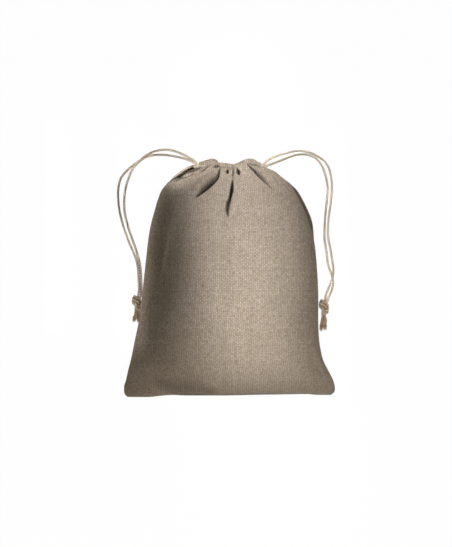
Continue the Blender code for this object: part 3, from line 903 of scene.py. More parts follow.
    def cloth(self, form: ClothForm) -> tuple[Array, Array, Array, list[Array]]:
        """Lay out one cloth.

        Args:
            form: the cloth's own shape.

        Returns:
            Its outer side as rows and columns of points, their UV pairs, their painted shade, and the lines
            of its stitches, in millimetres.
        """
        body = self.body_grid(form)
        neck = self.neck_grid(form)
        smooth = np.concatenate((body, neck, self.fold_grid(neck, form.side)))
        neck_first, fold_first = len(body), len(body) + len(neck)
        uv = self.spread(smooth)
        grid, shade = self.press(smooth, neck_first, fold_first, form)
        shade[:neck_first] = np.maximum(shade[:neck_first], self.turned(form))
        if form.side is Side.BACK:
            grid[:, :, 2] = self.laid(grid[:, :, 2])
        stitches = self.stitch_lines(smooth, grid, shade, neck_first, fold_first)
        if form.side is Side.BACK:
            grid, uv, shade = (part[:, ::-1] for part in (grid, uv, shade))
        return grid, uv, shade, stitches

    def build(self, linen: Material, sewing: "Sewing", lint: "Lint") -> dict[Side, list[Piece]]:
        """Build both cloths and dress them.

        Args:
            linen: the cloths' finish.
            sewing: maker of their stitches.
            lint: maker of the fibres on the front.

        Returns:
            For each cloth, its object with its stitches and lint after it.
        """
        pieces = {}
        for form, name in ((FRONT_FORM, "front"), (BACK_FORM, "back")):
            grid, uv, shade, stitches = self.cloth(form)
            item = closed_sheet(f"{name}_cloth", grid * MM, uv * MM, self.thickness * MM, linen)
            # painted shade of the folds, hems and turned band, which darkens the linen's colour
            set_attribute(item, "painted_shade", np.concatenate((shade.ravel(), shade[::2, ::2].ravel())))
            pieces[form.side] = [item, sewing.build(f"{name}_stitches", [line * MM for line in stitches])]
            if form.side is Side.FRONT:
                body = grid[self.foot_rows:self.foot_rows + self.body_rows + self.shoulder_rows // 2]
                pieces[form.side].append(lint.build(f"{name}_lint", body * MM))
        return pieces


@dataclass
class SeamAllowance:
    """The turned-in edges of the two cloths along a seam, one strip inside the pouch; millimetres."""

    pouch: Pouch
    inset: float = 2.0
    width: float = 7.5
    ends: tuple[float, float] = (-130.0, 106.0)
    reach: float = 108.0
    half_width: float = 122.0
    stations: int = 101
    columns: int = 3
    thickness: float = 1.0

    def side(self, hand: Hand) -> Array:
        """Lay a side seam's strip.

        Args:
            hand: which side it is on.

        Returns:
            Its points, with X from left to right along its columns.
        """
        y = np.linspace(*self.ends, self.stations)[:, None]
        outline = LEFT_OUTLINE if hand is Hand.LEFT else FRONT_RIGHT_OUTLINE
        steps = self.inset + self.width * np.linspace(0.0, 1.0, self.columns)[None, :]
        x = outline.read(y) - hand.value * steps
        x = np.sort(x, axis=1)
        y = np.broadcast_to(y, x.shape)
        return np.stack((x, y, self.pouch.seam_lift.read(y)), axis=-1)

    def bottom(self) -> Array:
        """Lay the bottom seam's strip.

        Returns:
            Its points.
        """
        x = np.linspace(-self.reach, self.reach, self.stations)[None, :]
        steps = self.inset + self.width * np.linspace(0.0, 1.0, self.columns)[:, None]
        level = self.pouch.bottom + steps + 0 * x
        wave = self.pouch.foot_line.read(x / self.half_width)
        return np.stack((x + 0 * steps, level + wave, self.pouch.seam_lift.read(level)), axis=-1)

    def build(self, linen: Material) -> list[Piece]:
        """Args:
            linen: their finish.

        Returns:
            The new objects.
        """
        strips = {
            "left_side_seam": self.side(Hand.LEFT), "right_side_seam": self.side(Hand.RIGHT),
            "bottom_seam": self.bottom(),
        }
        pieces = []
        for node, grid in strips.items():
            item = closed_sheet(node + "_cloth", grid * MM, grid[:, :, :2] * MM, self.thickness * MM, linen)
            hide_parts(node)
            belongs(item, Body.POUCH)
            pieces.append(item)
        return pieces


class NodeTree:
    """Short hand for wiring a node tree."""

    def __init__(self, tree: Tree) -> None:
        """Keep the tree to wire."""
        self.tree = tree

    def add(self, kind: str, inputs: dict[str | int, object] | None = None, **settings: object) -> Sockets:
        """Add a node.

        Args:
            kind: the node's type.
            inputs: a value or a socket for each of its inputs, by name or number.
            settings: values of the node itself.

        Returns:
            The node's outputs.
        """
        node = self.tree.nodes.new(kind)
        for name, value in settings.items():
            setattr(node, name, value)
        for label, value in (inputs or {}).items():
            self.put(node.inputs[label], value)
        return node.outputs

    def put(self, socket: Socket, value: object) -> None:
        """Set or link one input socket."""
        if isinstance(value, Socket):
            self.tree.links.new(value, socket)
        else:
            socket.default_value = value

    def math(self, operation: str, *values: object) -> Socket:
        """Add a Math node and return its result."""
        return self.add("ShaderNodeMath", dict(enumerate(values)), operation=operation)[0]

    def vector(self, operation: str, *values: object) -> Socket:
        """Add a Vector Math node and return its vector."""
        return self.add("ShaderNodeVectorMath", dict(enumerate(values)), operation=operation)[0]

    def scaled(self, vector: object, factor: object) -> Socket:
        """Scale a vector by one number."""
        return self.add("ShaderNodeVectorMath", {0: vector, "Scale": factor}, operation="SCALE")[0]

    def noise(self, vector: object, scale: float, detail: float) -> Socket:
        """Add a Noise Texture and return its value."""
        return self.add("ShaderNodeTexNoise", {"Vector": vector, "Scale": scale, "Detail": detail})["Fac"]

    def between(self, value: object, limits: tuple[float, float]) -> Socket:
        """Map a value smoothly from two limits to 0 and 1."""
        inputs = {"Value": value, "From Min": limits[0], "From Max": limits[1]}
        return self.add("ShaderNodeMapRange", inputs, interpolation_type="SMOOTHSTEP")["Result"]

    def blend(self, share: object, first: object, second: object, kind: str = "MIX") -> Socket:
        """Mix two colours."""
        inputs = {MIX_SHARE: share, MIX_FIRST: first, MIX_SECOND: second}
        return self.add("ShaderNodeMix", inputs, data_type="RGBA", blend_type=kind)[MIX_RESULT]

    def attribute(self, name: str) -> Socket:
        """Read a number that the mesh keeps for each point."""
        return self.add("ShaderNodeAttribute", attribute_name=name)["Fac"]

    def seen(self) -> Socket:
        """1 on the rays that show the background, straight or in gloss and glass, and 0 on others."""
        path = self.add("ShaderNodeLightPath")
        direct = self.math("MAXIMUM", path["Is Camera Ray"], path["Is Glossy Ray"])
        return self.math("MAXIMUM", direct, path["Is Transmission Ray"])

    def dress(self, base: Socket, roughness: float) -> None:
        """Wire the material's own shader as dry fibre.

        Args:
            base: its colour.
            roughness: of its surface.
        """
        inputs = self.tree.nodes["Principled BSDF"].inputs
        values = {"Base Color": base, "Roughness": roughness, "Specular IOR Level": FIBRE_GLOSS}
        for label, value in values.items():
            self.put(inputs[label], value)

    def raise_by(self, height: Socket, strength: float, depth: float) -> None:
        """Give the material's own shader a fine relief."""
        bump = self.add("ShaderNodeBump", {"Strength": strength, "Distance": depth, "Height": height})
        self.put(self.tree.nodes["Principled BSDF"].inputs["Normal"], bump[0])


def new_group(
    kind: str, name: str, inputs: dict[str, str], outputs: dict[str, str]
) -> tuple[NodeTree, Sockets]:
    """Start a node group.

    Args:
        kind: the type of its tree.
        name: its name.
        inputs: what each input carries.
        outputs: what each output carries.

    Returns:
        The tree to wire and the sockets that bring its inputs.
    """
    tree = bpy.data.node_groups.new(name, kind)
    for way, sockets in (("INPUT", inputs), ("OUTPUT", outputs)):
        for label, carries in sockets.items():
            tree.interface.new_socket(label, in_out=way, socket_type="NodeSocket" + carries)
    wires = NodeTree(tree)
    return wires, wires.add("NodeGroupInput")


@dataclass(frozen=True)
class PlainWeave:
    """A plain weave: threads over and under, each of its own tone, with thick and thin places.

    Pairs are for the warp and the weft.
    """

    counts: tuple[str, str] = ("Warp count", "Weft count")
    wander_scales: tuple[float, float] = (90.0, 100.0)
    wander_detail: float = 1.0
    signs: tuple[float, float] = (1.0, -1.0)
    fullness: tuple[float, float] = (1.0, 0.9)
    tints: tuple[float, float] = (0.04, -0.04)
    crimp: float = 0.38
    level: float = 0.62
    thread_seed: float = 31.7
    thread_share: float = 0.10
    slub_gap: float = 7.31
    slub_scale: float = 0.55
    slub_detail: float = 2.0
    slub_share: float = 0.90
    # thread heights over which the pores' painted shade fades out
    pore_heights: tuple[float, float] = (0.25, 0.62)

    def build(self) -> Tree:
        """Build the group.

        Returns:
            The group, which puts out the threads' height, their tone and the painted shade of the pores
            between them.
        """
        wires, given = new_group(
            "ShaderNodeTree", "Plain weave",
            {"UV": "Vector", "Warp count": "Float", "Weft count": "Float", "Wander": "Float"},
            {"Height": "Float", "Tone": "Float", "Pore": "Float"},
        )
        across = wires.add("ShaderNodeSeparateXYZ", {0: given["UV"]})
        threads = []
        for axis, count in enumerate(self.counts):
            drift = wires.noise(given["UV"], self.wander_scales[axis], self.wander_detail)
            drift = wires.math("MULTIPLY", wires.math("SUBTRACT", drift, MIDDLE), given["Wander"])
            place = wires.math("MULTIPLY_ADD", across[axis], given[count], drift)
            number = wires.math("FLOOR", place)
            within = wires.math("SUBTRACT", place, number)
            profile = wires.math("SINE", wires.math("MULTIPLY", within, math.pi))
            threads.append((place, number, profile))
        heights = []
        tones = []
        for own, sign in enumerate(self.signs):
            _, number, profile = threads[own]
            crossing = threads[1 - own][0]
            full = self.fullness[own]
            turn = wires.math("ADD", wires.math("SUBTRACT", crossing, MIDDLE), number)
            turn = wires.math("COSINE", wires.math("MULTIPLY", turn, math.pi))
            wave = wires.math("MULTIPLY_ADD", turn, sign * self.crimp * full, self.level * full)
            heights.append(wires.math("MULTIPLY", profile, wave))
            seed = wires.math("ADD", number, own * self.thread_seed)
            chance = wires.add("ShaderNodeTexWhiteNoise", {"W": seed}, noise_dimensions="1D")["Value"]
            where = wires.add("ShaderNodeCombineXYZ", {
                0: wires.math("MULTIPLY", number, self.slub_gap),
                1: wires.math("MULTIPLY", crossing, self.slub_scale),
            })
            slub = wires.math("MULTIPLY", wires.noise(where[0], 1.0, self.slub_detail), self.slub_share)
            tone = wires.math("MULTIPLY_ADD", chance, self.thread_share, slub)
            tones.append(wires.math("ADD", tone, self.tints[own]))
        top = wires.math("GREATER_THAN", *heights)
        height = wires.math("MAXIMUM", *heights)
        lower = wires.math("MULTIPLY", tones[1], wires.math("SUBTRACT", 1.0, top))
        wires.add("NodeGroupOutput", {
            "Height": height,
            "Tone": wires.math("MULTIPLY_ADD", tones[0], top, lower),
            "Pore": wires.math("SUBTRACT", 1.0, wires.between(height, self.pore_heights)),
        })
        return wires.tree


@dataclass(frozen=True)
class YarnFlecks:
    """Sparse brown husks and dark specks spun into the yarn."""

    size: tuple[float, float] = (0.05, 0.16)

    def build(self) -> Tree:
        """Build the group.

        Returns:
            The group, which puts out where the flecks are and which of the two each one is.
        """
        wires, given = new_group(
            "ShaderNodeTree", "Yarn flecks", {"UV": "Vector", "Spacing": "Float", "Share": "Float"},
            {"Mask": "Float", "Hue": "Float"},
        )
        cells = wires.add("ShaderNodeTexVoronoi", {"Vector": given["UV"], "Scale": given["Spacing"]})
        chance = wires.add("ShaderNodeSeparateColor", {0: cells["Color"]})
        chosen = wires.math("LESS_THAN", chance[0], given["Share"])
        spot = wires.math("SUBTRACT", 1.0, wires.between(cells["Distance"], self.size))
        wires.add("NodeGroupOutput", {"Mask": wires.math("MULTIPLY", chosen, spot), "Hue": chance[1]})
        return wires.tree


def new_material(name: str) -> tuple[Material, NodeTree]:
    """Start a material and the wiring of its nodes."""
    material = bpy.data.materials.new(name)
    material.use_nodes = True
    return material, NodeTree(material.node_tree)


def colour(red: float, green: float, blue: float) -> Colour:
    """Opaque colour from linear shares."""
    return (red, green, blue, 1.0)


@dataclass(frozen=True)
class LinenFinish:
    """Natural unbleached linen in a plain weave of uneven yarn, with painted shade in its pores and its
    folds.
    """

    dark: Colour = colour(0.270, 0.212, 0.160)
    light: Colour = colour(0.640, 0.540, 0.445)
    # painted shade in the pores between the threads
    pore: Colour = colour(0.100, 0.074, 0.052)
    flax: Colour = colour(0.500, 0.370, 0.240)
    husk: Colour = colour(0.300, 0.150, 0.060)
    speck: Colour = colour(0.120, 0.095, 0.075)
    # painted shade deep in the folds, blended in by the mesh's painted_shade attribute
    deep: Colour = colour(0.016, 0.011, 0.007)
    threads: float = 450.0
    weft_ratio: float = 1.15
    wander: float = 0.6
    fleck_spacing: float = 120.0
    fleck_count: float = 0.3
    fleck_share: float = 0.55
    patch_scale: float = 26.0
    patch_detail: float = 3.0
    patch_share: float = 0.12
    tones: tuple[float, float] = (0.12, 0.88)
    tinge_scales: Point = (300.0, 190.0, 1.0)
    tinge_detail: float = 2.0
    tinges: tuple[float, float] = (0.50, 0.80)
    tinge_share: float = 0.40
    pore_share: float = 0.45
    relief: float = 0.7
    relief_depth: float = 0.25 * MM
    roughness: float = 0.92

    def build(self, weave: Tree, flecks: Tree) -> Material:
        """Build the material.

        Args:
            weave: the weave's node group.
            flecks: the flecks' node group.

        Returns:
            The new material.
        """
        material, wires = new_material("natural_linen")
        uv = wires.add("ShaderNodeUVMap")[0]
        cloth = wires.add("ShaderNodeGroup", {
            "UV": uv, "Warp count": self.threads, "Weft count": self.threads * self.weft_ratio,
            "Wander": self.wander,
        }, node_tree=weave)
        spots = wires.add("ShaderNodeGroup", {
            "UV": uv, "Spacing": self.fleck_spacing, "Share": self.fleck_count,
        }, node_tree=flecks)
        patch = wires.math("SUBTRACT", wires.noise(uv, self.patch_scale, self.patch_detail), MIDDLE)
        tone = wires.math("MULTIPLY_ADD", patch, self.patch_share, cloth["Tone"])
        yarn = wires.blend(wires.between(tone, self.tones), self.dark, self.light)
        tinge = wires.noise(wires.vector("MULTIPLY", uv, self.tinge_scales), 1.0, self.tinge_detail)
        tinge = wires.math("MULTIPLY", wires.between(tinge, self.tinges), self.tinge_share)
        yarn = wires.blend(tinge, yarn, self.flax)
        # the pores darkened with painted shade
        yarn = wires.blend(wires.math("MULTIPLY", cloth["Pore"], self.pore_share), yarn, self.pore)
        fleck = wires.blend(wires.math("GREATER_THAN", spots["Hue"], MIDDLE), self.husk, self.speck)
        yarn = wires.blend(wires.math("MULTIPLY", spots["Mask"], self.fleck_share), yarn, fleck)
        # the folds darkened with painted shade by the mesh's attribute
        wires.dress(wires.blend(wires.attribute("painted_shade"), yarn, self.deep), self.roughness)
        wires.raise_by(cloth["Height"], self.relief, self.relief_depth)
        return material


@dataclass(frozen=True)
class CordFinish:
    """Undyed cotton cord, twisted, with fibres along its plies, painted shade where lengths touch, and wear
    mixed with painted shade at the knot.
    """

    dark: Colour = colour(0.560, 0.450, 0.335)
    light: Colour = colour(0.800, 0.700, 0.570)
    # brown of wear at the tails, mixed with painted shade at the knot
    worn_and_shaded: Colour = colour(0.480, 0.340, 0.230)
    # painted shade where lengths of cord touch
    deep: Colour = colour(0.060, 0.038, 0.022)
    fibre_scales: Point = (260.0, 2600.0, 1.0)
    fibre_detail: float = 3.0
    fibre_share: float = 0.5
    patch_scales: Point = (60.0, 60.0, 1.0)
    patch_detail: float = 2.0
    patch_share: float = 0.5
    tones: tuple[float, float] = (0.3, 0.7)
    relief: float = 0.6
    relief_depth: float = 0.1 * MM
    roughness: float = 0.85

    def build(self) -> Material:
        """Build the material.

        Returns:
            The new material.
        """
        material, wires = new_material("cotton_cord")
        uv = wires.add("ShaderNodeUVMap")[0]
        fibre = wires.noise(wires.vector("MULTIPLY", uv, self.fibre_scales), 1.0, self.fibre_detail)
        patch = wires.noise(wires.vector("MULTIPLY", uv, self.patch_scales), 1.0, self.patch_detail)
        tone = wires.math("MULTIPLY", fibre, self.fibre_share)
        tone = wires.math("MULTIPLY_ADD", patch, self.patch_share, tone)
        clean = wires.blend(wires.between(tone, self.tones), self.dark, self.light)
        # wear at the tail's end, and wear mixed with painted shade at the knot
        aged_and_shaded = wires.blend(wires.attribute("wear_and_shade"), clean, self.worn_and_shaded, "MULTIPLY")
        wires.dress(wires.blend(wires.attribute("painted_shade"), aged_and_shaded, self.deep), self.roughness)
        wires.raise_by(fibre, self.relief, self.relief_depth)
        return material


@dataclass(frozen=True)
class FluffFinish:
    """Loose fibres and thread, uneven in tone; as set, the cord's ends browned with handling."""

    name: str = "loose_fibres"
    dark: Colour = colour(0.270, 0.165, 0.085)
    light: Colour = colour(0.600, 0.440, 0.290)
    scale: float = 900.0
    detail: float = 1.0
    tones: tuple[float, float] = (0.3, 0.7)
    roughness: float = 0.8

    def build(self) -> Material:
        """Build the material.

        Returns:
            The new material.
        """
        material, wires = new_material(self.name)
        place = wires.add("ShaderNodeTexCoord")["Object"]
        tone = wires.between(wires.noise(place, self.scale, self.detail), self.tones)
        wires.dress(wires.blend(tone, self.dark, self.light), self.roughness)
        return material


THREAD_FINISH = FluffFinish("linen_thread", colour(0.340, 0.270, 0.205), colour(0.520, 0.430, 0.340))


@dataclass(frozen=True)
class FloorFinish:
    """White studio floor that keeps a faint shadow in view and throws light back at the pouch."""

    shown: float = 0.985
    kept: float = 0.03
    bounce: Colour = colour(0.80, 0.80, 0.80)

    def build(self) -> Material:
        """Build the material.

        Returns:
            The new material.
        """
        material, wires = new_material("studio_floor")
        nodes = material.node_tree.nodes
        nodes.remove(nodes["Principled BSDF"])
        glow = wires.add("ShaderNodeEmission", {"Strength": self.shown})
        matt = wires.add("ShaderNodeBsdfDiffuse", {"Color": colour(self.kept, self.kept, self.kept)})
        both = wires.add("ShaderNodeAddShader", {0: glow[0], 1: matt[0]})
        plain = wires.add("ShaderNodeBsdfDiffuse", {"Color": self.bounce})
        mix = wires.add("ShaderNodeMixShader", {0: wires.seen(), 1: plain[0], 2: both[0]})
        wires.put(nodes["Material Output"].inputs["Surface"], mix[0])
        return material


LEFT_FRONT_ROUTE: Route = (
    (-0.0378, 0.1328, 0.0398), (-0.0425, 0.1380, 0.0387), (-0.0519, 0.1436, 0.0355),
    (-0.0614, 0.1480, 0.0305), (-0.0708, 0.1508, 0.0240), (-0.0802, 0.1513, 0.0175),
    (-0.0897, 0.1495, 0.0120), (-0.0991, 0.1451, 0.0078), (-0.1038, 0.1412, 0.0062),
    (-0.1103, 0.1352, 0.0052), (-0.1163, 0.1274, 0.0036), (-0.1210, 0.1156, 0.0018),
    (-0.1241, 0.1038, 0.0016), (-0.1252, 0.0920, 0.0016), (-0.1250, 0.0802, 0.0016),
    (-0.1227, 0.0684, 0.0016), (-0.1195, 0.0566, 0.0016), (-0.1153, 0.0448, 0.0016),
    (-0.1112, 0.0330, 0.0016), (-0.1078, 0.0212, 0.0016), (-0.1058, 0.0094, 0.0016),
    (-0.1052, -0.0024, 0.0024), (-0.1048, -0.0120, 0.0046), (-0.1050, -0.0175, 0.0057),
)
LEFT_BACK_ROUTE: Route = (
    (-0.0378, 0.1326, 0.0161), (-0.0425, 0.1364, 0.0156), (-0.0519, 0.1407, 0.0140),
    (-0.0614, 0.1430, 0.0108), (-0.0708, 0.1449, 0.0070), (-0.0802, 0.1459, 0.0038),
    (-0.0897, 0.1456, 0.0020), (-0.0991, 0.1433, 0.0016), (-0.1062, 0.1392, 0.0016),
    (-0.1145, 0.1336, 0.0016), (-0.1218, 0.1274, 0.0016), (-0.1271, 0.1215, 0.0016),
    (-0.1303, 0.1156, 0.0016), (-0.1326, 0.1038, 0.0016), (-0.1323, 0.0920, 0.0016),
    (-0.1310, 0.0802, 0.0016), (-0.1284, 0.0684, 0.0016), (-0.1248, 0.0566, 0.0016),
    (-0.1206, 0.0448, 0.0016), (-0.1156, 0.0330, 0.0016), (-0.1110, 0.0212, 0.0016),
    (-0.1088, 0.0094, 0.0016), (-0.1082, -0.0024, 0.0024), (-0.1077, -0.0120, 0.0046),
    (-0.1080, -0.0175, 0.0057),
)
RIGHT_FRONT_ROUTE: Route = (
    (0.0392, 0.1332, 0.0398), (0.0440, 0.1380, 0.0386), (0.0519, 0.1422, 0.0360), (0.0614, 0.1457, 0.0310),
    (0.0708, 0.1483, 0.0247), (0.0802, 0.1500, 0.0180), (0.0897, 0.1492, 0.0118), (0.0991, 0.1465, 0.0072),
    (0.1062, 0.1424, 0.0044), (0.1112, 0.1390, 0.0028), (0.1153, 0.1336, 0.0018), (0.1180, 0.1274, 0.0016),
    (0.1204, 0.1156, 0.0016), (0.1208, 0.1038, 0.0016), (0.1198, 0.0920, 0.0016), (0.1180, 0.0802, 0.0016),
    (0.1166, 0.0684, 0.0016), (0.1159, 0.0566, 0.0016), (0.1168, 0.0448, 0.0017), (0.1192, 0.0330, 0.0022),
    (0.1210, 0.0212, 0.0036), (0.1224, 0.0118, 0.0051), (0.1218, 0.0030, 0.0054), (0.1196, -0.0055, 0.0051),
    (0.1162, -0.0130, 0.0050), (0.1138, -0.0190, 0.0056), (0.1130, -0.0222, 0.0058),
)
RIGHT_BACK_ROUTE: Route = (
    (0.0392, 0.1315, 0.0161), (0.0440, 0.1330, 0.0156), (0.0519, 0.1357, 0.0140), (0.0614, 0.1395, 0.0108),
    (0.0708, 0.1435, 0.0070), (0.0802, 0.1461, 0.0038), (0.0897, 0.1463, 0.0020), (0.0991, 0.1433, 0.0016),
    (0.1043, 0.1392, 0.0016), (0.1086, 0.1333, 0.0016), (0.1113, 0.1274, 0.0016), (0.1147, 0.1156, 0.0016),
    (0.1160, 0.1038, 0.0016), (0.1148, 0.0920, 0.0016), (0.1135, 0.0802, 0.0016), (0.1125, 0.0684, 0.0016),
    (0.1119, 0.0566, 0.0016), (0.1121, 0.0448, 0.0016), (0.1142, 0.0330, 0.0016), (0.1154, 0.0212, 0.0016),
    (0.1174, 0.0118, 0.0016), (0.1204, 0.0035, 0.0016), (0.1218, -0.0047, 0.0016),
    (0.1210, -0.0130, 0.0020), (0.1182, -0.0194, 0.0044), (0.1166, -0.0230, 0.0058),
)
LEFT_FRONT_TAIL: Route = ((-0.1081, -0.0412, 0.0055), (-0.1086, -0.0440, 0.0042), (-0.1092, -0.0475, 0.0030))
LEFT_BACK_TAIL: Route = ((-0.1112, -0.0412, 0.0053), (-0.1118, -0.0440, 0.0040), (-0.1138, -0.0473, 0.0028))
RIGHT_FRONT_TAIL: Route = ((0.1097, -0.0455, 0.0052), (0.1091, -0.0510, 0.0036), (0.1078, -0.0578, 0.0026))
RIGHT_BACK_TAIL: Route = ((0.1126, -0.0455, 0.0054), (0.1122, -0.0510, 0.0036), (0.1120, -0.0572, 0.0026))
OVERHAND_PATH: Route = (
    (-0.50, 2.40, 0.00), (-0.50, 1.50, 0.00), (-0.50, 0.50, 0.00), (-0.50, -0.60, 0.00),
    (-0.40, -1.40, 0.30), (0.00, -1.60, 1.00), (0.75, -1.05, 1.18), (1.45, -0.45, 0.60),
    (1.55, 0.00, -0.30), (1.00, 0.35, -1.05), (0.00, 0.65, -1.15), (-1.05, 0.95, -1.00),
    (-1.55, 1.25, -0.20), (-1.30, 1.50, 0.75), (-0.50, 1.65, 1.15), (0.30, 1.60, 0.85), (0.55, 1.00, 0.15),
    (0.50, 0.20, 0.00), (0.50, -0.80, 0.00), (0.50, -1.60, 0.00), (0.50, -2.40, 0.00),
)
LOOSE_THREAD: Route = (
    (-0.0391, 0.1345, 0.0425), (-0.0394, 0.1318, 0.0448), (-0.0391, 0.1288, 0.0480),
    (-0.0393, 0.1255, 0.0512), (-0.0397, 0.1236, 0.0514),
)
CASING_ENDS = {Hand.LEFT: -0.0360, Hand.RIGHT: 0.0375}


def inner_end(hand: Hand) -> float:
    """Place along X, inside the casings, where a drawstring's moving end starts."""
    return CASING_ENDS[hand] - hand.value * CORD_INSIDE


@dataclass
class OverhandKnot:
    """An overhand knot tied in two cords at once and pulled tight, in metres from its middle.

    The last values steer the pull: how wide the loose path is, how far apart the cords start on it, how much
    of a clash one push clears, when the pull ends, and how often each step draws in and pushes apart.
    """

    entry: tuple[float, float] = (0.0052, 0.0018)
    leaving: tuple[float, float] = (0.0015, -0.0015)
    length: float = 0.070
    diameter: float = CORD_DIAMETER
    half: float = 0.0090
    floor: float = -0.0042
    ceiling: float = 0.0050
    side_room: float = 0.0051
    least_room: float = 0.1
    roundness: float = 0.75
    points: int = 66
    steps: int = 420
    stiffness: float = 0.12
    widening: Point = (2.6, 1.0, 2.6)
    path_step: float = 0.0001
    cord_gap: float = 0.55
    push_share: float = 0.6
    pull_end: float = 0.7
    skipped: float = 1.3
    pull_rounds: int = 3
    push_rounds: int = 2

    def loose(self) -> Array:
        """Lay the two cords side by side along a wide overhand path.

        Returns:
            The two cords' points.
        """
        path = np.array(OVERHAND_PATH)
        path = path * (self.half / path[0, 1]) * np.array(self.widening)
        fine = smooth_route(path, self.path_step)
        picks = np.linspace(0, len(fine) - 1, self.points).round().astype(int)
        centre = fine[picks]
        ahead = unit(np.gradient(centre, axis=0))
        aside = carried(np.array((1.0, 0.0, 0.0)), ahead) * self.cord_gap * self.diameter
        cords = np.stack((centre + aside, centre - aside))
        for end, level, places in ((0, self.half, self.entry), (-1, -self.half, self.leaving)):
            for number, x in enumerate(places):
                cords[number, end] = (x, level, 0.0)
        return cords

    def draw_in(self, cords: Array, rest: float) -> None:
        """Bring each step along the cords to its length, its even and odd steps in turn.

        Args:
            cords: the two cords' points, moved in place.
            rest: the length of a step.
        """
        for odd in (0, 1):
            spots = np.arange(odd, self.points - 1, 2)
            step = cords[:, spots + 1] - cords[:, spots]
            size = np.linalg.norm(step, axis=2, keepdims=True)
            move = step / 2 * (size - rest) / np.maximum(size, TINY)
            cords[:, spots] += move
            cords[:, spots + 1] -= move

    def push_apart(self, cords: Array, skip: int) -> None:
        """Move points apart where two lengths of cord lie in one another.

        Args:
            cords: the two cords' points, moved in place.
            skip: how many neighbours along its own cord a point leaves alone.
        """
        flat = cords.reshape(-1, 3)
        number = np.arange(len(flat))
        other = (number[:, None] // self.points) != (number[None, :] // self.points)
        apart = other | (np.abs(number[:, None] - number[None, :]) > skip)
        gap = flat[:, None, :] - flat[None, :, :]
        size = np.linalg.norm(gap, axis=2)
        hit = apart & (size < self.diameter)
        push = np.where(hit, (self.diameter - size) / 2 / np.maximum(size, TINY), 0.0)
        share = self.push_share / np.maximum(hit.sum(axis=1), 1)
        flat += (gap * push[:, :, None]).sum(axis=1) * share[:, None]

    def tie(self) -> Array:
        """Pull the loose cords tight.

        Returns:
            The two cords' points, from the knot's entry to its exit.
        """
        cords = self.loose()
        held = cords[:, (0, -1)].copy()
        start = np.linalg.norm(np.diff(cords[0], axis=0), axis=1).mean()
        goal = self.length / (self.points - 1)
        for step in range(self.steps):
            rest = start + (goal - start) * min(step / (self.pull_end * self.steps), 1.0)
            skip = max(math.ceil(self.skipped * self.diameter / rest), 2)
            for _ in range(self.pull_rounds):
                self.draw_in(cords, rest)
                cords[:, (0, -1)] = held
            cords[:, 1:-1] += self.stiffness * ((cords[:, :-2] + cords[:, 2:]) / 2 - cords[:, 1:-1])
            for _ in range(self.push_rounds):
                self.push_apart(cords, skip)
                rounding = 1 - self.roundness * (cords[:, :, 1] / self.half) ** 2
                room = self.side_room * np.sqrt(np.clip(rounding, self.least_room, 1.0))
                right_room = np.where(cords[:, :, 1] > 0, self.side_room, room)
                cords[:, :, 0] = np.clip(cords[:, :, 0], -room, right_room)
                cords[:, :, 2] = np.clip(cords[:, :, 2], self.floor, self.ceiling)
                cords[:, (0, -1)] = held
        return cords


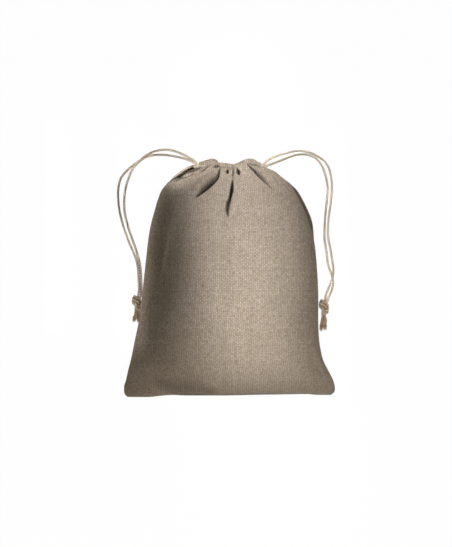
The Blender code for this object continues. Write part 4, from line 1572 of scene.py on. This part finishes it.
@dataclass
class TwistedCord:
    """A cord of plies laid up along a line of points, in metres."""

    diameter: float = CORD_DIAMETER
    plies: int = 3
    ply_share: float = 0.54
    pitch: float = 0.0095
    step: float = 0.00075
    sides: int = 8
    splay_reach: float = 0.0130
    splay: float = 0.0
    # wear mixed with painted shade at the knot
    knot_wear: float = 0.45
    knot_reach: float = 0.0900
    tail_reach: float = 0.0180
    # painted shade where lengths of cord touch
    crevice: float = 0.85
    crevice_reach: float = 0.42
    near: float = 2.0
    own_length: float = 1.7
    least_slant: float = 0.1

    def crevices(self, tube: Array, line: Array, beside: Array) -> Array:
        """Find how much light is lost where lengths of cord touch.

        Args:
            tube: rings of surface points along a ply.
            line: the cord's own line, a point for each ring.
            beside: the line of the cord next to it.

        Returns:
            The painted shade of each surface point, from 0 to 1.
        """
        skip = math.ceil(self.own_length * self.diameter / self.step)
        shade = np.zeros(tube.shape[:2])
        for row, ring in enumerate(tube):
            others = np.vstack((line[:max(row - skip, 0)], line[row + skip:], beside))
            others = others[np.linalg.norm(others - line[row], axis=1) < self.near * self.diameter]
            if len(others):
                gap = np.linalg.norm(ring[:, None, :] - others[None, :, :], axis=2).min(axis=1)
                shade[row] = self.crevice * ease((self.diameter - gap) / (self.crevice_reach * self.diameter))
        return shade

    def wear_and_shade(self, from_end: Array) -> Array:
        """Browning of the plies' points: wear mixed with painted shade at the knot, and wear most of all at
        the tail's end.

        Args:
            from_end: distance of each ring from the cord's end.

        Returns:
            The wear and painted shade of each point from 0 to 1, none where the end isn't splayed.
        """
        worn_and_shaded = self.knot_wear * ease((self.knot_reach - from_end) / self.tail_reach)
        worn_and_shaded = worn_and_shaded + (1 - self.knot_wear) * ease(1 - from_end / self.tail_reach)
        worn_and_shaded = np.repeat(worn_and_shaded * (self.splay > 0), self.sides)
        return np.tile(np.concatenate((worn_and_shaded, worn_and_shaded[:1], worn_and_shaded[-1:])), self.plies)

    def build(
        self, name: str, route: Array, material: Material, beside: Array = NO_POINTS
    ) -> tuple[Piece, Array]:
        """Lay the plies along a route.

        Args:
            name: the piece's name.
            route: points that the cord passes through.
            material: its finish.
            beside: points of the cord next to it.

        Returns:
            The new object and the line that it follows.
        """
        line = smooth_route(route, self.step)
        ahead = unit(np.gradient(line, axis=0))
        first = np.cross(ahead[0], UP)
        if np.linalg.norm(first) < self.least_slant:
            first = np.cross(ahead[0], AWAY)
        aside = carried(unit(first), ahead)
        above = np.cross(ahead, aside)
        reach = running_length(line)
        from_end = reach[-1] - reach
        loose = ease(1 - from_end / self.splay_reach) * self.splay
        radius = self.diameter / 2 * self.ply_share
        helix = (self.diameter / 2 - radius) * (1 + loose)
        around = 2 * np.pi * np.arange(self.sides) / self.sides
        turn = around[None, :, None]
        ring = radius * (np.cos(turn) * aside[:, None, :] + np.sin(turn) * above[:, None, :])
        rows = len(line)
        points, faces, uvs, shades = [], [], [], []
        for ply in range(self.plies):
            angle = 2 * np.pi * (reach / self.pitch + ply / self.plies)
            swing = np.cos(angle)[:, None] * aside + np.sin(angle)[:, None] * above
            centre = line + helix[:, None] * swing
            tube = centre[:, None, :] + ring
            base = sum(len(part) for part in points)
            number = base + np.arange(rows * self.sides).reshape(rows, self.sides)
            tip = base + rows * self.sides
            points += [tube.reshape(-1, 3), centre[:1], centre[-1:]]
            head, tail = number[0].tolist(), number[-1].tolist()
            caps = [[tip, head[(k + 1) % self.sides], head[k]] for k in range(self.sides)]
            caps += [[tip + 1, tail[k], tail[(k + 1) % self.sides]] for k in range(self.sides)]
            faces += tube_faces(number) + caps
            across = np.tile(around * radius, rows) + ply * self.diameter
            spread = np.stack((np.repeat(reach, self.sides), across), axis=1)
            uvs += [spread, spread[:1], spread[-1:]]
            shade = self.crevices(tube, line, beside)
            shades += [shade.ravel(), shade[0, :1], shade[-1, :1]]
        item = add_object(name, np.vstack(points), faces, np.vstack(uvs), material)
        # painted shade where lengths of cord touch; the next attribute holds wear, mixed with painted shade
        # near the knot
        set_attribute(item, "painted_shade", np.concatenate(shades))
        set_attribute(item, "wear_and_shade", self.wear_and_shade(from_end))
        return item, line


def place_and_dress(wires: NodeTree, given: Sockets, **sockets: Socket) -> Tree:
    """End a node tree: put a shape at points, make each one real and dress them.

    Args:
        wires: the tree's wiring.
        given: sockets of the tree's inputs, with the finish among them.
        sockets: what to join to the inputs of the node that puts the shape at the points.

    Returns:
        The finished tree.
    """
    placed = wires.add("GeometryNodeInstanceOnPoints", sockets)
    real = wires.add("GeometryNodeRealizeInstances", {0: placed[0]})
    dressed = wires.add("GeometryNodeSetMaterial", {"Geometry": real[0], "Material": given["Finish"]})
    wires.add("NodeGroupOutput", {"Geometry": dressed[0]})
    return wires.tree


@dataclass(frozen=True)
class LooseFibres:
    """Loose fibres that grow out of a surface, each a thin bent tube."""

    steps: int = 5
    sides: int = 4
    sizes: tuple[float, float] = (0.5, 1.2)
    least_stray: Point = (-1.0, -1.0, -1.0)

    def build(self) -> Tree:
        """Build the node tree.

        Returns:
            The tree, with named inputs for sizes and finish.
        """
        wires, given = new_group(
            "GeometryNodeTree", "Loose fibres",
            {
                "Geometry": "Geometry", "Density": "Float", "Lay": "Vector", "Spread": "Float",
                "Lift": "Float", "Length": "Float", "Radius": "Float", "Curl": "Float", "Seed": "Int",
                "Finish": "Material",
            },
            {"Geometry": "Geometry"},
        )
        seed = given["Seed"]
        roots = wires.add("GeometryNodeDistributePointsOnFaces", {
            "Mesh": given["Geometry"], "Density": given["Density"], "Seed": seed,
        })
        stray = {0: self.least_stray, "Seed": seed}
        chance = wires.add("FunctionNodeRandomValue", stray, data_type="FLOAT_VECTOR")
        toward = wires.vector("ADD", given["Lay"], wires.scaled(chance[0], given["Spread"]))
        toward = wires.vector("ADD", toward, wires.scaled(roots["Normal"], given["Lift"]))
        turn = wires.add("FunctionNodeAlignRotationToVector", {"Vector": toward}, axis="Z")
        upright = {"Direction": UP, "Length": given["Length"]}
        line = wires.add("GeometryNodeCurvePrimitiveLine", upright, mode="DIRECTION")
        even = wires.add("GeometryNodeResampleCurve", {"Curve": line[0], "Count": self.steps})
        along = wires.add("GeometryNodeSplineParameter")["Factor"]
        bend = wires.math("MULTIPLY", wires.math("MULTIPLY", along, along), given["Curl"])
        offset = wires.add("ShaderNodeCombineXYZ", {0: bend})
        bent = wires.add("GeometryNodeSetPosition", {"Geometry": even[0], "Offset": offset[0]})
        ring = wires.add("GeometryNodeCurvePrimitiveCircle", {
            "Resolution": self.sides, "Radius": given["Radius"],
        })
        fibre = wires.add("GeometryNodeCurveToMesh", {
            "Curve": bent[0], "Profile Curve": ring[0], "Fill Caps": True,
        })
        size = wires.add("FunctionNodeRandomValue", {2: self.sizes[0], 3: self.sizes[1], "Seed": seed})
        return place_and_dress(
            wires, given, Points=roots["Points"], Instance=fibre[0], Rotation=turn[0], Scale=size[1]
        )


@dataclass(frozen=True)
class StitchRow:
    """Stitches laid end to end along lines, each a long bead of thread."""

    segments: int = 6
    rings: int = 5
    radius: float = 0.5

    def build(self) -> Tree:
        """Build the node tree.

        Returns:
            The tree, with named inputs for sizes and finish.
        """
        wires, given = new_group(
            "GeometryNodeTree", "Stitch row",
            {"Geometry": "Geometry", "Pitch": "Float", "Size": "Vector", "Finish": "Material"},
            {"Geometry": "Geometry"},
        )
        line = wires.add("GeometryNodeMeshToCurve", {"Mesh": given["Geometry"]})
        even = {"Curve": line[0], "Length": given["Pitch"]}
        spots = wires.add("GeometryNodeCurveToPoints", even, mode="LENGTH")
        turn = wires.add("FunctionNodeAlignRotationToVector", {"Vector": spots["Tangent"]}, axis="Z")
        bead = wires.add("GeometryNodeMeshUVSphere", {
            "Segments": self.segments, "Rings": self.rings, "Radius": self.radius,
        })
        smooth = wires.add("GeometryNodeSetShadeSmooth", {0: bead[0]})
        return place_and_dress(
            wires, given, Points=spots["Points"], Instance=smooth[0], Rotation=turn[0], Scale=given["Size"]
        )


def grow(name: str, host: Piece, tree: Tree, **values: object) -> Piece:
    """Run a node tree on a host, keep the outcome as a plain mesh of its own and remove the host.

    Args:
        name: the new piece's name.
        host: the object that the tree works on.
        tree: the node tree.
        values: its inputs by name.

    Returns:
        The new object.
    """
    modifier = host.modifiers.new(name, "NODES")
    modifier.node_group = tree
    sockets = {item.name: item.identifier for item in tree.interface.items_tree if item.in_out == "INPUT"}
    for label, value in values.items():
        modifier[sockets[label]] = value
    seen = host.evaluated_get(bpy.context.evaluated_depsgraph_get())
    mesh = bpy.data.meshes.new_from_object(seen)
    mesh.name = name
    host.modifiers.remove(modifier)
    bpy.data.objects.remove(host)
    item = bpy.data.objects.new(name, mesh)
    bpy.context.scene.collection.objects.link(item)
    LOG.info("%s: %d faces", name, len(mesh.polygons))
    return item


@dataclass
class Sewing:
    """Lockstitches of linen thread along the casing's seam and the slits' hems, in metres."""

    tree: Tree
    finish: Material
    pitch: float = 0.0027
    thickness: float = 0.00042
    length: float = 0.0023
    every: int = 4
    line_step: float = 0.3

    def build(self, name: str, lines: list[Array]) -> Piece:
        """Sew along lines.

        Args:
            name: the piece's name.
            lines: points along each line.

        Returns:
            All the stitches, as one object.
        """
        points = np.vstack([smooth_route(line[::self.every], self.line_step * self.pitch) for line in lines])
        steps = np.linalg.norm(np.diff(points, axis=0), axis=1)
        edges = [(number, number + 1) for number in np.flatnonzero(steps < self.pitch).tolist()]
        mesh = bpy.data.meshes.new(name + "_line")
        mesh.from_pydata(points.tolist(), edges, [])
        host = bpy.data.objects.new(name + "_line", mesh)
        bpy.context.scene.collection.objects.link(host)
        size = (self.thickness, self.thickness, self.length)
        return grow(name, host, self.tree, Pitch=self.pitch, Size=size, Finish=self.finish)


@dataclass
class Lint:
    """Short loose fibres that stand off the cloth, in metres."""

    tree: Tree
    finish: Material
    density: float = 16000.0
    length: float = 0.0030
    thickness: float = 0.00004
    spread: float = 1.0
    lift: float = 0.35
    curl: float = 0.0012
    seed: int = 7

    def build(self, name: str, grid: Array) -> Piece:
        """Grow the fibres out of a cloth's outer side.

        Args:
            name: the piece's name.
            grid: points of the cloth by row and column.

        Returns:
            All the fibres, as one object.
        """
        points = grid.reshape(-1, 3)
        faces = grid_faces(*grid.shape[:2]).tolist()
        host = add_object(name + "_host", points, faces, points[:, :2], self.finish)
        return grow(
            name, host, self.tree, Density=self.density, Spread=self.spread, Lift=self.lift,
            Length=self.length, Radius=self.thickness, Curl=self.curl, Seed=self.seed, Finish=self.finish,
        )


@dataclass
class Fray:
    """The loose fibres at the cut end of a tail, in metres."""

    tree: Tree
    finish: Material
    reach: float = 0.0125
    radius: float = 0.0016
    sides: int = 8
    density: float = 3.2e6
    length: float = 0.0050
    thickness: float = 0.00012
    spread: float = 0.32
    lift: float = 0.16
    curl: float = 0.0010

    def build(self, name: str, line: Array, seed: int) -> Piece:
        """Grow the fibres along the last stretch of a cord.

        Args:
            name: the piece's name.
            line: the cord's line.
            seed: of the fibres' places.

        Returns:
            All the fibres, as one object.
        """
        from_end = running_length(line[::-1])[::-1]
        core = line[from_end <= self.reach]
        ahead = unit(core[-1] - core[0])
        aside = unit(np.cross(ahead, UP))
        above = np.cross(aside, ahead)
        around = 2 * np.pi * np.arange(self.sides) / self.sides
        ring = self.radius * (np.cos(around)[:, None] * aside + np.sin(around)[:, None] * above)
        points = (core[:, None, :] + ring[None, :, :]).reshape(-1, 3)
        faces = tube_faces(np.arange(len(points)).reshape(len(core), self.sides))
        host = add_object(name + "_host", points, faces, points[:, :2], self.finish)
        return grow(
            name, host, self.tree, Density=self.density, Lay=ahead.tolist(), Spread=self.spread,
            Lift=self.lift, Length=self.length, Radius=self.thickness, Curl=self.curl, Seed=seed,
            Finish=self.finish,
        )


@dataclass
class Drawstring:
    """The moving end of one drawstring: two strands out of the casings, tied in a knot with two tails."""

    hand: Hand
    routes: tuple[Route, Route]
    tails: tuple[Route, Route]
    knot: OverhandKnot
    knot_at: Point
    bend_room: float = 0.0030
    casing_z: tuple[float, float] = (0.0400, 0.0160)
    diameter: float = CORD_DIAMETER
    first_seed: int = 11
    seed_step: int = 5

    def centre_lines(self) -> list[Array]:
        """Lay the two strands from inside the casing through the knot to the tail's end.

        Returns:
            Points of the front and the back strand.
        """
        knot = self.knot.tie()
        if self.hand is Hand.RIGHT:
            knot = knot[::-1]
        inner = inner_end(self.hand)
        bend = CASING_ENDS[self.hand] - self.hand.value * self.bend_room
        lines = []
        for strand, route, tail, level in zip(knot, self.routes, self.tails, self.casing_z):
            start = [(x, CASING_Y, level) for x in (inner, (inner + bend) / 2, bend)]
            lines.append(np.vstack((start, route, strand + np.array(self.knot_at), tail)))
        return lines

    def build(self, finish: Material, fraying: Fray) -> None:
        """Args:
            finish: the cords' finish.
            fraying: maker of their frayed ends.
        """
        hand = self.hand.name.lower()
        body = Body[self.hand.name]
        routes = self.centre_lines()
        maker = TwistedCord(diameter=self.diameter, splay=1.0)
        for number, face in enumerate(("front", "back")):
            beside = smooth_route(routes[1 - number], maker.step)
            item, line = maker.build(f"{hand}_{face}_cord", routes[number], finish, beside)
            nodes = [f"{hand}_{face}_strand", f"{hand}_{face}_tail"]
            if face == "front":
                nodes.append(f"{hand}_knot")
            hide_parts(*nodes)
            seed = self.first_seed + self.hand.value + self.seed_step * number
            fray = fraying.build(f"{hand}_{face}_fray", line, seed)
            for piece in (item, fray):
                belongs(piece, body)


@dataclass
class CasingRun:
    """A cord's run inside both casings, round at the far slit, in metres."""

    hand: Hand
    bore_z: float = 0.0382
    middle_z: float = 0.0280
    spacing: float = 0.0036
    gap: float = 0.0003
    run_out: float = 0.0008
    sink: float = 0.0020
    sink_rate: float = 5.0
    turn_radius: float = 0.0048
    twist_points: int = 12
    turn_points: int = 8

    def place(self, x: float, turn: float) -> Point:
        """Point in the front casing, at an angle round the pair of cords."""
        half = self.spacing / 2
        return (x, CASING_Y + half * math.sin(turn), self.bore_z + half * math.cos(turn))

    def route(self) -> Array:
        """Lay the run from the front casing to the back one.

        Returns:
            Its points.
        """
        far = Hand(-self.hand.value)
        toward = far.value
        begin = inner_end(self.hand) + toward * self.gap
        finish = inner_end(far)
        half = []
        for share in np.linspace(0.0, 1.0, self.twist_points + 1):
            x, y, z = self.place(begin + (finish - begin) * share, toward * math.pi * share)
            half.append((x, y, z - self.sink * float(ease(self.sink_rate * min(share, 1 - share)))))
        turn_x = CASING_ENDS[far] + toward * self.run_out
        half.append(self.place((finish + turn_x) / 2, math.pi))
        top = self.place(turn_x, math.pi)[2]
        for angle in np.linspace(0.0, math.pi / 2, self.turn_points + 1):
            x = turn_x + toward * self.turn_radius * math.sin(angle)
            half.append((x, CASING_Y, top - self.turn_radius * (1 - math.cos(angle))))
        back = [(x, y, 2 * self.middle_z - z) for x, y, z in reversed(half)]
        return np.array(half + back)

    def build(self, finish: Material) -> None:
        """Args:
            finish: of the cord.
        """
        name = self.hand.name.lower()
        item, _ = TwistedCord().build(f"{name}_casing_cord", self.route(), finish)
        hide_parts(f"{name}_cord_run")
        belongs(item, Body.POUCH)


@dataclass(frozen=True)
class Lamp:
    """A soft box with a grid that keeps its light within a spread; metres, watts and degrees."""

    name: str
    place: Point
    aim: Point
    width: float
    length: float
    power: float
    spread: float = 180.0
    turn: float = 0.0
    tint: Point = WHITE

    def build(self) -> None:
        """Hang the lamp out of the camera's sight."""
        data = bpy.data.lights.new(self.name, "AREA")
        data.shape = "RECTANGLE"
        data.size = self.width
        data.size_y = self.length
        data.energy = self.power
        data.color = self.tint
        data.spread = math.radians(self.spread)
        item = bpy.data.objects.new(self.name, data)
        item.location = self.place
        toward = (Vector(self.aim) - Vector(self.place)).to_track_quat("-Z", "Y")
        item.rotation_euler = (toward @ Quaternion(UP, math.radians(self.turn))).to_euler()
        item.visible_camera = False
        bpy.context.scene.collection.objects.link(item)


@dataclass
class Studio:
    """Camera straight above the pouch, soft lamps and a white floor; metres and watts."""

    lamps: tuple[Lamp, ...] = (
        Lamp("key", (0.0, 0.17, 0.50), (0.026, 0.02, 0.05), 0.12, 0.50, 0.166, 18.0, -3.8),
        Lamp("high_key", (-0.006, 0.22, 0.50), (0.020, 0.07, 0.05), 0.13, 0.18, 0.0175, 8.0, -3.8),
        Lamp("low_key", (-0.016, 0.04, 0.50), (0.010, -0.09, 0.05), 0.10, 0.12, 0.014, 14.0, -5.3),
        Lamp("neck", (0.01, 0.17, 0.45), (0.01, 0.128, 0.03), 0.20, 0.03, 0.004, 10.0),
        Lamp("mouth", (-0.050, 0.128, 0.50), (-0.050, 0.128, 0.0), 0.03, 0.012, 0.0008, 3.0, tint=WARM),
        Lamp("left_cords", (-0.116, 0.05, 0.50), (-0.116, 0.05, 0.0), 0.02, 0.26, 0.0122, 5.0),
        Lamp("right_cords", (0.120, 0.05, 0.50), (0.120, 0.05, 0.0), 0.02, 0.26, 0.0168, 5.0),
        Lamp("top_left_cords", (-0.086, 0.150, 0.50), (-0.086, 0.150, 0.0), 0.07, 0.02, 0.0026, 5.0),
        Lamp("top_right_cords", (0.082, 0.150, 0.50), (0.082, 0.150, 0.0), 0.07, 0.02, 0.0042, 5.0),
        Lamp("left", (-0.50, 0.05, 0.04), (0.0, 0.0, 0.05), 0.30, 0.06, 0.10, tint=WARM),
        Lamp("left_rim", (-0.22, 0.06, 0.006), (-0.09, 0.06, 0.035), 0.24, 0.012, 0.065, tint=WARM),
        Lamp("left_shoulder", (-0.20, 0.35, 0.30), (-0.062, 0.120, 0.045), 0.02, 0.02, 0.0016, 6.0),
        Lamp("right", (0.60, -0.05, 0.05), (0.0, 0.0, 0.05), 0.30, 0.08, 0.40, tint=WARM),
        Lamp("foot", (0.0, -0.90, 0.50), (0.0, 0.0, 0.05), 0.50, 0.50, 2.6, tint=WARM),
    )
    centre: tuple[float, float] = (-0.0047, 0.0053)
    frame_height: float = 0.6455
    lens: float = 250.0
    sensor: float = 36.0
    plane: float = 0.020
    floor_reach: float = 4.0
    floor_level: float = -0.3 * MM
    view_end: float = 20.0
    world_light: float = 0.025

    def build(self) -> None:
        """Set up the camera, the lamps, the world and the floor."""
        scene = bpy.context.scene
        scene.view_settings.view_transform = "Standard"
        data = bpy.data.cameras.new("camera")
        data.lens = self.lens
        data.sensor_width = self.sensor
        data.clip_end = self.view_end
        camera = bpy.data.objects.new("camera", data)
        camera.location = (*self.centre, self.plane + self.frame_height * self.lens / self.sensor)
        scene.collection.objects.link(camera)
        scene.camera = camera
        for lamp in self.lamps:
            lamp.build()
        self.floor()
        self.world()

    def floor(self) -> None:
        """Lay the floor."""
        corners = np.array(((-1.0, -1.0), (1.0, -1.0), (1.0, 1.0), (-1.0, 1.0))) * self.floor_reach
        points = np.insert(corners, 2, self.floor_level, axis=1)
        item = add_object("floor", points, [[0, 1, 2, 3]], corners, FloorFinish().build())

    def world(self) -> None:
        """Light the room evenly and show it white."""
        world = bpy.data.worlds.new("studio")
        bpy.context.scene.world = world
        world.use_nodes = True
        wires = NodeTree(world.node_tree)
        back = world.node_tree.nodes["Background"]
        seen = wires.seen()
        wires.put(back.inputs["Color"], wires.blend(seen, colour(*WARM), colour(*WHITE)))
        wires.put(back.inputs["Strength"], wires.math("MAXIMUM", seen, self.world_light))


def dress_pouch(pouch: Pouch, linen: Material, fibres: Tree) -> None:
    """Build the cloths with their sewing and tell the frame what they are.

    Args:
        pouch: maker of the cloths.
        linen: their finish.
        fibres: node tree of the lint.
    """
    thread = THREAD_FINISH.build()
    cloths = pouch.build(linen, Sewing(StitchRow().build(), thread), Lint(fibres, thread))
    seams = SeamAllowance(pouch).build(linen)
    spun = TwistedCord(diameter=0.0005, plies=1, ply_share=1.0, step=0.0004, sides=6)
    end, _ = spun.build("loose_thread", LOOSE_THREAD, thread)
    cloths[Side.FRONT].append(end)
    for side, name in ((Side.FRONT, "front"), (Side.BACK, "back")):
        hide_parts(f"{name}_panel", f"{name}_casing")
        for piece in cloths[side]:
            belongs(piece, Body.POUCH)


def main() -> None:
    """Build the pouch, its drawstrings and the studio in order."""
    Studio().build()
    cotton = CordFinish().build()
    linen = LinenFinish().build(PlainWeave().build(), YarnFlecks().build())
    fluff = FluffFinish().build()
    fibres = LooseFibres().build()
    fraying = Fray(fibres, fluff)
    Drawstring(
        hand=Hand.LEFT,
        routes=(LEFT_FRONT_ROUTE, LEFT_BACK_ROUTE),
        tails=(LEFT_FRONT_TAIL, LEFT_BACK_TAIL),
        knot=OverhandKnot(leaving=(0.0023, -0.0008)),
        knot_at=(-0.1104, -0.0301, 0.0058),
    ).build(cotton, fraying)
    Drawstring(
        hand=Hand.RIGHT,
        routes=(RIGHT_FRONT_ROUTE, RIGHT_BACK_ROUTE),
        tails=(RIGHT_FRONT_TAIL, RIGHT_BACK_TAIL),
        knot=OverhandKnot(),
        knot_at=(0.1110, -0.0348, 0.0058),
    ).build(cotton, fraying)
    for hand in Hand:
        CasingRun(hand).build(cotton)
    dress_pouch(Pouch(), linen, fibres)


if __name__ == "__main__":
    main()
